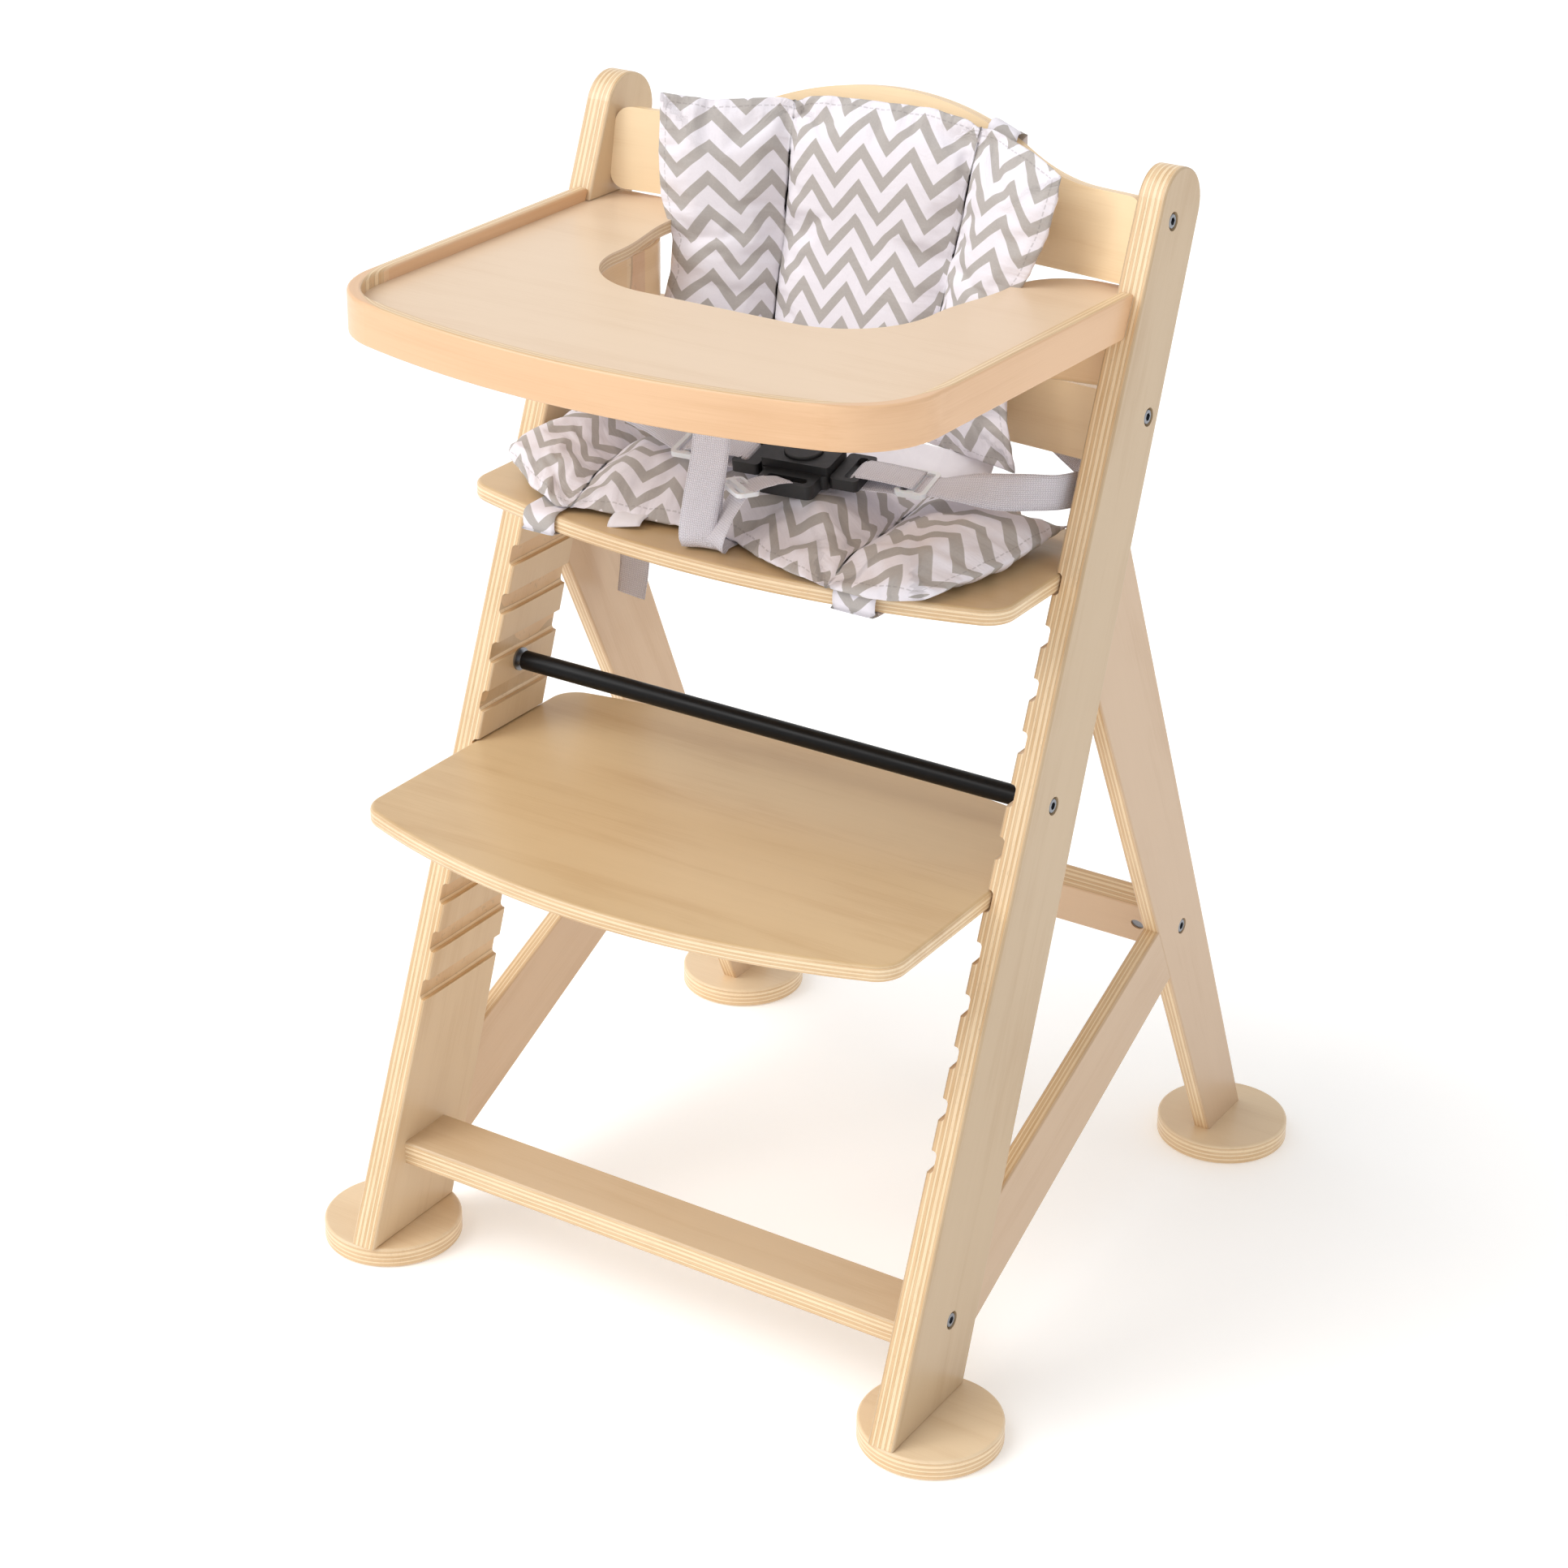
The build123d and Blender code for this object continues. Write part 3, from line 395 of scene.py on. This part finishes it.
dowel_wood = worked("dowel_wood", srgb(196, 154, 106), 0.25, 0.8, 0.6, 0.0001)
for n in ("leg_dowels", "brace_dowels", "bow_dowels"):
    wear(n, dowel_wood)


# ---------------------------------------------------------------- fabrics
def chevron_material():
    """Printed cotton. UV maps: cloth is the print, hem and seam are the distance from and run along a sewn line."""
    g = Graph("chevron_cotton", (0.8, 0.78, 0.8))
    uv = g.new("ShaderNodeUVMap", uv_map="cloth").outputs[0]
    hem = g.new("ShaderNodeUVMap", uv_map="hem").outputs[0]
    seam = g.new("ShaderNodeUVMap", uv_map="seam").outputs[0]
    u, v = g.dot(uv, (1000, 0, 0)), g.dot(uv, (0, 1000, 0))
    zig = g.math("PINGPONG", u, 20.5)
    band = g.math("FRACT", g.math("DIVIDE", g.math("MULTIPLY_ADD", zig, 1.05, v), 23.5))
    edge = g.math("MULTIPLY", g.math("MINIMUM", band, g.math("SUBTRACT", 0.46, band)), 45.0)
    edge = g.math("MINIMUM", g.math("MAXIMUM", edge, 0.0), 1.0)
    mottle = g.noise(uv, 700.0, 3.0)
    grey = g.mix(mottle, srgb(172, 166, 163), srgb(187, 181, 177))
    white = g.mix(mottle, srgb(232, 227, 235), srgb(239, 235, 242))
    # a dashed line of stitches just inside the hem
    inset, run = g.dot(hem, (1000, 0, 0)), g.dot(hem, (0, 1000, 0))
    line = g.math("LESS_THAN", g.math("ABSOLUTE", g.math("SUBTRACT", inset, 6.5)), 0.45)
    stitch = g.math("MULTIPLY", line, g.math("LESS_THAN", g.math("FRACT", g.math("DIVIDE", run, 4.4)), 0.68))
    color = g.mix(edge, white, grey)
    color = g.mix(g.math("MULTIPLY", stitch, 0.3), color, srgb(120, 112, 112))
    g.shader(Base_Color=color, Roughness=0.82, Sheen_Weight=0.12, Sheen_Roughness=0.5)
    weave = g.math("MULTIPLY", g.math("SINE", g.math("MULTIPLY", u, 9.0)), g.math("SINE", g.math("MULTIPLY", v, 9.0)))
    crease = g.noise(uv, 26.0, 3.0, 0.55, 1.0)
    # gathers run out from each sewn line and die away
    away, along = g.dot(seam, (1000, 0, 0)), g.dot(seam, (0, 1000, 0))
    gather = g.noise(g.join(g.math("MULTIPLY", along, 0.13), g.math("MULTIPLY", away, 0.022), 0.0), 1.0, 2.0, 0.5, 0.3)
    gather = g.math("MULTIPLY", gather, g.math("EXPONENT", g.math("MULTIPLY", away, -0.055)))
    groove = g.math("MULTIPLY", line, -0.10)
    total = g.math("MULTIPLY_ADD", weave, 0.012, g.math("MULTIPLY_ADD", gather, 1.5, g.math("ADD", crease, groove)))
    g.bump(total, 0.55, 0.0030)
    return g.mat


def webbing_material():
    g = Graph("white_webbing", (0.9, 0.9, 0.92))
    uv = g.new("ShaderNodeUVMap", uv_map="cloth").outputs[0]
    u, v = g.dot(uv, (1000, 0, 0)), g.dot(uv, (0, 1000, 0))
    # rows of slanting yarns, the slant turning over from row to row
    row = g.math("DIVIDE", u, 1.25)
    parity = g.math("FRACT", g.math("MULTIPLY", g.math("FLOOR", row), 0.5))
    flip = g.math("SUBTRACT", g.math("MULTIPLY", parity, 4.0), 1.0)
    within = g.math("SUBTRACT", g.math("FRACT", row), 0.5)
    slant = g.math("MULTIPLY", g.math("MULTIPLY", within, flip), 1.1)
    yarn = g.math("COSINE", g.math("MULTIPLY", g.math("ADD", v, slant), 3.9))
    rib = g.math("SUBTRACT", 1.0, g.math("POWER", g.math("MULTIPLY", g.math("ABSOLUTE", within), 2.0), 3.0))
    height = g.math("MULTIPLY", rib, g.math("MULTIPLY_ADD", yarn, 0.35, 0.65))
    fuzz = g.noise(uv, 1500.0, 2.0)
    # The colour follows the yarns' height: painted shade darkens the dips between the yarns and the rows, and random
    # fuzz varies it a little.
    tone = g.math("MULTIPLY_ADD", height, 0.8, g.math("MULTIPLY", fuzz, 0.2))
    color = g.mix(tone, srgb(186, 180, 190), srgb(244, 241, 248))
    g.shader(Base_Color=color, Roughness=0.66, Sheen_Weight=0.2, Sheen_Roughness=0.4)
    g.bump(height, 0.8, 0.0005)
    return g.mat


def cotton_material():
    g = Graph("white_cloth", (0.9, 0.9, 0.92))
    p = g.place()
    weave = g.math("MULTIPLY", g.math("SINE", g.math("MULTIPLY", g.dot(p, (1, 0.2, 0)), 8.0)),
                   g.math("SINE", g.math("MULTIPLY", g.dot(p, (0, 0.6, 1)), 8.0)))
    crease = g.noise(p, 0.05, 3.0, 0.6, 0.8)
    # The cloth is painted darker where the crease noise is low: painted shade in the hollows of the creases.
    g.shader(Base_Color=g.mix(crease, srgb(228, 224, 232), srgb(244, 242, 247)), Roughness=0.85, Sheen_Weight=0.15)
    g.bump(g.math("MULTIPLY_ADD", weave, 0.02, crease), 0.5, 0.002)
    return g.mat


chevron = chevron_material()
webbing = webbing_material()
white_cloth = cotton_material()


def mesh_object(name, verts, faces, mat, maps):
    """A smooth mesh. maps gives each UV map's values, one per vertex."""
    me = bpy.data.meshes.new(name)
    me.from_pydata([v[:] for v in verts], [], faces)
    me.update()
    for map_name, values in maps.items():
        layer = me.uv_layers.new(name=map_name)
        for li, loop in enumerate(me.loops):
            layer.data[li].uv = values[loop.vertex_index]
    me.materials.append(mat)
    me.polygons.foreach_set("use_smooth", [True] * len(me.polygons))
    ob = bpy.data.objects.new(name, me)
    scene.collection.objects.link(ob)
    return ob


def spline(points, step=0.003):
    """Catmull-Rom through the points: list of (position, width direction)."""
    out = []
    n = len(points)
    for i in range(n - 1):
        a, b = points[i], points[i + 1]
        pa, pb = points[max(i - 1, 0)], points[min(i + 2, n - 1)]
        k = max(2, int((b[0] - a[0]).length / step))
        for j in range(k):
            t = j / k
            t2, t3 = t * t, t * t * t
            pos = 0.5 * (2 * a[0] + (b[0] - pa[0]) * t + (2 * pa[0] - 5 * a[0] + 4 * b[0] - pb[0]) * t2
                         + (3 * a[0] - pa[0] - 3 * b[0] + pb[0]) * t3)
            out.append((pos, a[1].lerp(b[1], t).normalized()))
    out.append((points[-1][0], points[-1][1].normalized()))
    return out


def ribbon(name, control, width=0.0245, thick=0.0016, mat=None, across=6):
    """Webbing: a band with rounded selvedges. control: [((x, y, z), (wx, wy, wz)), ...] in mm."""
    path = spline([(Vector(p) * MM, Vector(w).normalized()) for p, w in control])
    verts, uvs, faces = [], [], []
    run = 0.0
    ring = []
    for i in range(across + 1):
        s = -1 + 2 * i / across
        ring.append((s, 0.5 * math.sqrt(max(1 - abs(s) ** 8, 0.05))))
    ring += [(s, -h) for s, h in reversed(ring)]
    m = len(ring)
    for i, (pos, w) in enumerate(path):
        if i:
            run += (pos - path[i - 1][0]).length
        t = (path[min(i + 1, len(path) - 1)][0] - path[max(i - 1, 0)][0]).normalized()
        side = (w - t * w.dot(t)).normalized()
        nrm = t.cross(side)
        for s, h in ring:
            verts.append(pos + side * (s * width / 2) + nrm * (h * thick))
            uvs.append((s * width / 2, run))
    for i in range(len(path) - 1):
        for j in range(m):
            k = (j + 1) % m
            faces.append((i * m + j, i * m + k, (i + 1) * m + k, (i + 1) * m + j))
    faces.append(tuple(range(m))[::-1])
    last = (len(path) - 1) * m
    faces.append(tuple(last + j for j in range(m)))
    # too far from any sewn line for stitches or gathers to show
    far = {"hem": [(0.02, 0.0)] * len(verts), "seam": [(0.1, 0.0)] * len(verts)}
    return mesh_object(name, verts, faces, mat or webbing, {"cloth": uvs, **far})


# ---------------------------------------------------------------- padded cushions
INFLATE_FRAMES = 20


def pillow(name, mid, out, seams, nu, nv, crown, cap, uv_of, floor=None, under=0.62):
    """Two sheets sewn at the border and along the seams, blown up by a cloth simulation.

    mid(u, v) is the point between the sheets, out(u, v) the way the top sheet faces. crown is the height before
    blowing up, under its share on the lower sheet, and cap the most a point may move."""
    sewn_u = sorted({0, nu} | {round(s * nu) for s in seams})
    grid = [[mid(i / nu, j / nv) for i in range(nu + 1)] for j in range(nv + 1)]
    across = [[0.0] for _ in grid]
    for j, row in enumerate(grid):
        for i in range(nu):
            across[j].append(across[j][-1] + (row[i + 1] - row[i]).length)
    rise = [[0.0] * (nu + 1)]
    for j in range(nv):
        rise.append([rise[-1][i] + (grid[j + 1][i] - grid[j][i]).length for i in range(nu + 1)])
    verts, tags, uvs, hem, gather, top, bottom = [], [], [], [], [], {}, {}
    for j in range(nv + 1):
        for i in range(nu + 1):
            lo = max(b for b in sewn_u if b <= i)
            hi = min((b for b in sewn_u if b > lo), default=nu)
            s = (i - lo) / max(hi - lo, 1)
            h = crown * (1 - abs(2 * s - 1) ** 2.6) * (1 - abs(2 * j / nv - 1) ** 5.0)
            sewn = i in sewn_u or j in (0, nv)
            du = min(across[j][i], across[j][-1] - across[j][i])
            dv = min(rise[j][i], rise[-1][i] - rise[j][i])
            dp = min(abs(across[j][i] - across[j][b]) for b in sewn_u)
            n = out(i / nu, j / nv)
            for store, side in ((top, 1.0), (bottom, -under)):
                if side < 0 and sewn:
                    store[i, j] = top[i, j]
                    continue
                store[i, j] = len(verts)
                verts.append(grid[j][i] + n * (h * side))
                tags.append(sewn)
                uvs.append(uv_of(i / nu, j / nv))
                hem.append((min(du, dv), rise[j][i] if du < dv else across[j][i]))
                gather.append((min(dp, dv), rise[j][i] if dp < dv else across[j][i]))
    faces = []
    for j in range(nv):
        for i in range(nu):
            ring = ((i, j), (i + 1, j), (i + 1, j + 1), (i, j + 1))
            faces.append(tuple(top[k] for k in ring))
            faces.append(tuple(bottom[k] for k in reversed(ring)))
    ob = mesh_object(name, verts, faces, chevron, {"cloth": uvs, "hem": hem, "seam": gather})
    start = [v.co.copy() for v in ob.data.vertices]
    pins = ob.vertex_groups.new(name="sewn")
    pins.add([i for i, t in enumerate(tags) if t], 1.0, "REPLACE")
    mod = ob.modifiers.new("cloth", "CLOTH")
    st = mod.settings
    st.quality = 6
    st.mass = 0.25
    st.tension_stiffness = 25
    st.compression_stiffness = 25
    st.shear_stiffness = 8
    st.bending_stiffness = 0.25
    st.use_pressure = True
    st.uniform_pressure_force = 4.0
    st.vertex_group_mass = "sewn"
    st.pin_stiffness = 1.0
    st.shrink_min = -0.07
    st.effector_weights.gravity = 0
    mod.point_cache.frame_end = INFLATE_FRAMES
    for f in range(1, INFLATE_FRAMES + 1):
        scene.frame_set(f)
    live = ob.evaluated_get(bpy.context.evaluated_depsgraph_get())
    moved = [v.co.copy() for v in live.to_mesh().vertices]
    live.to_mesh_clear()
    ob.modifiers.remove(mod)
    ob.vertex_groups.clear()
    scene.frame_set(1)
    for v in ob.data.vertices:
        step = moved[v.index] - start[v.index]
        if step.length > cap:
            step *= cap / step.length
        v.co = start[v.index] + step
    if floor is not None:
        for v in ob.data.vertices:
            v.co = floor(v.co)
    ob.data.update()
    sub = ob.modifiers.new("smooth", "SUBSURF")
    sub.levels = sub.render_levels = 1
    return ob


def between(pairs, t):
    """The value at t, on straight lines between the (t, value) pairs."""
    for (t0, a), (t1, b) in zip(pairs, pairs[1:]):
        if t <= t1:
            return a + (b - a) * (t - t0) / (t1 - t0)
    return pairs[-1][1]


# seat pad, in mm: x of the two sides and two seams from front to rear, the front edge's y and the hem's z over x
PAD_FLOOR = 0.5672
SEAT_SEAMS = (0.23, 0.80)
SEAT_SIDES = ([(0, -190), (0.12, -199), (0.4, -203), (1, -198)], [(0, -115), (0.2, -121), (0.5, -134), (1, -140)],
              [(0, 103), (0.25, 98), (0.5, 94), (1, 90)], [(0, 162), (0.08, 171), (0.25, 183), (0.5, 191), (1, 193)])
SEAT_FRONT = [(-205, -96), (-190, -103), (-157, -122), (-125, -137), (-106, -130), (-79, -126), (-39, -121),
              (-3, -119), (12, -124), (36, -137), (67, -148), (102, -158), (130, -156), (153, -146), (170, -134)]
SEAT_HEM = [(-205, 586), (-185, 581), (-160, 573), (-125, 569), (140, 569), (170, 571), (184, 575), (194, 580)]


def turned(x, y, turn):
    """Print coordinates in metres, turned by a small angle in radians."""
    return ((x * math.cos(turn) - y * math.sin(turn)) * MM, (x * math.sin(turn) + y * math.cos(turn)) * MM)


def panel_of(u, seams):
    return 0 if u < seams[0] else (1 if u < seams[1] else 2)


def seat_mid(u, v):
    marks = [between(side, v) for side in SEAT_SIDES]
    cuts = (0, *SEAT_SEAMS, 1)
    k = 0 if u <= cuts[1] else (1 if u <= cuts[2] else 2)
    x = marks[k] + (marks[k + 1] - marks[k]) * (u - cuts[k]) / (cuts[k + 1] - cuts[k])
    front_x = between(list(zip(cuts, [side[0][1] for side in SEAT_SIDES])), u)
    front = between(SEAT_FRONT, front_x)
    y = front + (7 - front) * v
    hem = between(SEAT_HEM, x if v > 0.02 else front_x)
    z = hem + (577 - hem) * math.sin(math.pi / 2 * min(v / 0.35, 1)) * min(1, 6 * min(u, 1 - u) + 0.25)
    z += 2.0 * noise.noise(Vector((x * 0.02, y * 0.02, 3.0))) * min(v * 8, 1)
    return Vector((x, y, z)) * MM


def seat_uv(u, v):
    turn, dx, dy = ((-0.10, 3, 5), (0.02, 0, 0), (0.14, 11, 13))[panel_of(u, SEAT_SEAMS)]
    return turned(-190 + 380 * u + dx, 160 * v + dy, turn)


seat = pillow("seat_pad", seat_mid, lambda u, v: Vector((0, 0, 1)), SEAT_SEAMS, 100, 42, 16 * MM, 9 * MM, seat_uv,
              floor=lambda c: Vector((c.x, c.y, max(c.z, PAD_FLOOR))))
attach(seat, "seat")
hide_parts("seat_cushion")

B_UP, B_BACK = Vector(LEAN_UP), Vector(LEAN_BACK)
BACK_SEAMS = (0.265, 0.735)


def back_edges(v):
    left = between([(0, -147), (0.17, -143), (0.42, -134), (0.53, -134), (0.66, -148), (0.8, -154), (1, -157)], v)
    right = between([(0, 156), (0.17, 145), (0.42, 134), (0.53, 134), (0.66, 148), (0.8, 157), (1, 163)], v)
    return left, right


def back_mid(u, v):
    left, right = back_edges(v)
    s_l, s_r = between([(0, -64), (1, -66)], v), between([(0, 54), (1, 79)], v)
    low = -40
    top = between([(0, 171), (0.1, 170), (0.265, 180), (0.35, 184), (0.6, 187), (0.735, 183), (0.9, 172),
                   (1, 161)], u)
    for s in BACK_SEAMS:
        top -= 3.5 * math.exp(-((u - s) / 0.02) ** 2)
    if u < BACK_SEAMS[0]:
        t = u / BACK_SEAMS[0]
        x, fwd = left + (s_l - left) * t, 36 * (1 - t) ** 1.3
    elif u > BACK_SEAMS[1]:
        t = (1 - u) / (1 - BACK_SEAMS[1])
        x, fwd = right + (s_r - right) * t, 36 * (1 - t) ** 1.3
    else:
        t = (u - BACK_SEAMS[0]) / (BACK_SEAMS[1] - BACK_SEAMS[0])
        x, fwd = s_l + (s_r - s_l) * t, -3.0 * math.sin(math.pi * t)
    zz = low + (top - low) * v
    p = Vector((0, 49.5, 640)) + B_UP * zz - B_BACK * (11 + fwd)
    p.x = x + 1.2 * noise.noise(Vector((u * 3, zz * 0.02, 7)))
    p += B_BACK * 2.5 * noise.noise(Vector((u * 4, zz * 0.018, 1)))
    return p * MM


def back_out(u, v):
    d = 0.02
    a = back_mid(min(u + d, 1), v) - back_mid(max(u - d, 0), v)
    return a.cross(B_UP).normalized()


def back_uv(u, v):
    turn, dx, dy = ((0.0, 6, 2), (-0.035, 0, 9), (-0.09, 14, 0))[panel_of(u, BACK_SEAMS)]
    return turned(u * 330 + dx, v * 225 + dy, turn)


back = pillow("back_pad", back_mid, back_out, BACK_SEAMS, 84, 56, 11 * MM, 6 * MM, back_uv)
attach(back, "frame")
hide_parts("back_cushion")

# ---------------------------------------------------------------- belt
def ride_as(ob, body, slot, *replaced):
    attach(ob, body)
    if replaced:
        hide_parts(*replaced)
    return ob


VIEWSIDE = (0.85, 0.52, 0)  # the upright strand is turned a little from the seat's front
standing = ribbon("crotch_webbing_standing", [
    ((0, -60, 565.7), (1, 0, 0)), ((-2, -120, 565.8), (1, 0.05, 0)), ((-4, -137, 567), (1, 0.2, 0)),
    ((-6, -143, 574), (0.95, 0.35, 0)), ((-3, -142.5, 600), VIEWSIDE), ((2, -141, 630), VIEWSIDE),
    ((4, -140, 652), VIEWSIDE), ((3, -138, 659), VIEWSIDE), ((1.5, -135.5, 661.5), VIEWSIDE),
    ((0.5, -133.5, 658), VIEWSIDE), ((0, -133, 648), VIEWSIDE), ((-3, -134, 622), VIEWSIDE),
    ((-5, -136, 596), VIEWSIDE), ((-4, -136.5, 578), (0.95, 0.2, 0)), ((-1, -136, 570), (1, 0, 0))])
ride_as(standing, "seat", "white_webbing", "crotch_strap")
rising = ribbon("crotch_webbing_rising", [
    ((-2, -118, 566.5), (1, 0.1, 0)), ((1, -138, 569), (1, 0, 0)), ((6, -141, 578), (0.93, -0.3, 0.2)),
    ((11, -134, 592), (0.85, -0.42, 0.3)), ((16, -126, 604), (0.85, -0.45, 0.25)),
    ((22, -117, 610), (0.9, -0.4, 0.15)), ((30, -108, 612), (0.97, -0.1, 0.1)), ((34, -101, 611), (0.99, 0.12, 0))])
ride_as(rising, "seat", "white_webbing")

for name, x, y0, width in (("seat_loop_left", -133, -143.5, 0.026), ("seat_loop_right", 118, -145.5, 0.032)):
    section = ((-104, 567.5), (y0 + 12, 567.0), (y0 + 2, 566.2), (y0 - 1.5, 563), (y0 - 2.2, 558.5),
               (y0 - 1.5, 554), (y0 + 3, 551.4), (-60, 551.2), (36, 551.2), (43.5, 553), (45.2, 558.5),
               (43.5, 564), (34, 566), (0, 566))
    loop = ribbon(name + "_cloth", [((x, y, z), X_AXIS) for y, z in section], width, 0.0008, chevron)
    ride_as(loop, "seat", "chevron_fabric", name)

# the buckle's middle, the way its tongues slide and its upper face's normal
BUCKLE_AT = Vector((31, -70, 613))
BUCKLE_ALONG = Vector((0.9927, 0.1213, 0.0))
BUCKLE_UP = Vector((0.020, -0.165, 0.986))
BUCKLE_ACROSS = BUCKLE_UP.cross(BUCKLE_ALONG)
# distance out from the buckle and height, over the tongue's bar and back under it
DOUBLED = ((84, 1.4), (72, 2.2), (58, 2.8), (44, 2.6), (38.6, 0.5), (38, -3.5), (43, -6.2), (56, -5.6),
           (70, -4.6), (84, -3.8))
for side, s in (("right", 1), ("left", -1)):
    upper = ribbon("strap_over_" + side, [
        (tuple(BUCKLE_AT + BUCKLE_ALONG * (s * out) + BUCKLE_UP * height), tuple(BUCKLE_ACROSS))
        for out, height in DOUBLED])
    ride_as(upper, "tongue_" + side, "white_webbing", "strap_doubled_" + side)


def on_board(x, up):
    """A point on the back of the lower backrest, as far up its lean as given."""
    p = Vector(LOWER_AT) + B_BACK * (7.4 + LOWER_SAG * (1 - (x / HALF_INSIDE) ** 2)) + B_UP * up
    return (x, p.y, p.z)


front_runs = {
    "right": [((112, -60, 611), (-0.12, 0.98, 0.16)), ((128, -58, 612), (-0.12, 0.97, 0.2)),
              ((146, -54, 613.5), (-0.1, 0.85, 0.5)), ((166, -46, 613), (-0.05, 0.5, 0.86)),
              ((184, -38, 614), (0, 0.2, 0.98)), ((197, -28, 613.5), (0, 0, 1))],
    "left": [((-50, -80, 610), (0.12, 0.98, 0.16)), ((-68, -72, 611), (0.12, 0.97, 0.2)),
             ((-95, -57, 613), (0.1, 0.85, 0.5)), ((-130, -46, 616), (0.05, 0.5, 0.86)),
             ((-165, -38, 618), (0, 0.2, 0.98)), ((-192, -30, 616.5), (0, 0, 1))],
}
for side, s in (("right", 1), ("left", -1)):
    under = [((s * 202.4, -14, 612), (0, 0.1, 1)), ((s * 202.8, 1, 609.5), (0, 0.2, 1)),
             ((s * 202.8, 15, 604.8), (0, 0.3, 1)), ((s * 202.6, 28, 601.3), (0, 0.25, 1)),
             ((s * 201.5, 37, 600), (0, 0.05, 1))]
    behind = [(on_board(s * x, up), (s * w, 0.17, 1)) for x, up, w in (
        (196, -47.5, 0.3), (182, -40.3, 0.5), (158, -28, 0.5), (138, -18, 0.4), (120, -14.4, 0.1),
        (60, -14.3, 0), (-6, -14.3, 0))]
    strap = ribbon("waist_webbing_" + side, front_runs[side] + under + behind)
    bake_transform(strap)
    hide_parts("waist_strap_" + side)
tail = ribbon("waist_tail_left", [((-189, 44.5, 607), X_AXIS), ((-189, 45, 588), X_AXIS),
                                  ((-190, 46, 540), (1, 0.1, 0)), ((-188, 45, 490), (1, 0.2, 0)),
                                  ((-187, 43, 455), (1, 0.1, 0)), ((-189, 41, 428), X_AXIS)])
ride_as(tail, "frame", "white_webbing")

bridge = ribbon("pad_bridge", [((0, y, z), X_AXIS) for y, z in ((4, 590), (10, 594), (17, 598), (22, 606))],
                0.25, 0.001, white_cloth)
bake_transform(bridge)
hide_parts("cushion_bridge")

label = ribbon("blank_label", [((-72, -118, 571), (1, -0.1, 0)), ((-72, -127, 570), (1, -0.1, 0)),
                               ((-71, -133, 568), (1, -0.1, -0.05)), ((-70, -136, 566), (1, -0.1, -0.1))],
               0.024, 0.0005, white_cloth)
ride_as(label, "seat", "plain_fabric", "cushion_label")


def on_crest(back, up):
    """A point of the loop's section: so far back from the upper backrest's middle and up its lean."""
    p = Vector(UPPER_AT) + B_BACK * back + B_UP * up
    return (89.0, p.y, p.z)


SLOPE = (0.93, 0, -0.37)  # the crest falls away under the loop
crest_loop = ribbon("back_loop_cloth", [
    (on_crest(13.4, 10), X_AXIS), (on_crest(13.2, 28), SLOPE), (on_crest(15, 38.5), SLOPE),
    (on_crest(21, 40.6), SLOPE), (on_crest(28, 38.5), SLOPE), (on_crest(30, 30), SLOPE),
    (on_crest(30.2, 0), X_AXIS), (on_crest(30, -38), X_AXIS), (on_crest(27, -47), X_AXIS),
    (on_crest(21, -48), X_AXIS), (on_crest(15, -47), X_AXIS), (on_crest(13.4, -38), X_AXIS),
    (on_crest(13.4, 8), X_AXIS)], 0.022, 0.0008, chevron)
ride_as(crest_loop, "frame", "plain_fabric", "back_loop")

# ---------------------------------------------------------------- floor
me = bpy.data.meshes.new("floor")
me.from_pydata([(-6, -6, 0), (6, -6, 0), (6, 6, 0), (-6, 6, 0)], [], [(0, 1, 2, 3)])
floor = bpy.data.objects.new("floor", me)
me.materials.append(plain("floor_white", (0.96, 0.96, 0.96), Roughness=0.9, Emission_Color=(1, 1, 1, 1),
                          Emission_Strength=0.2))
floor.location.z = -0.0005
scene.collection.objects.link(floor)
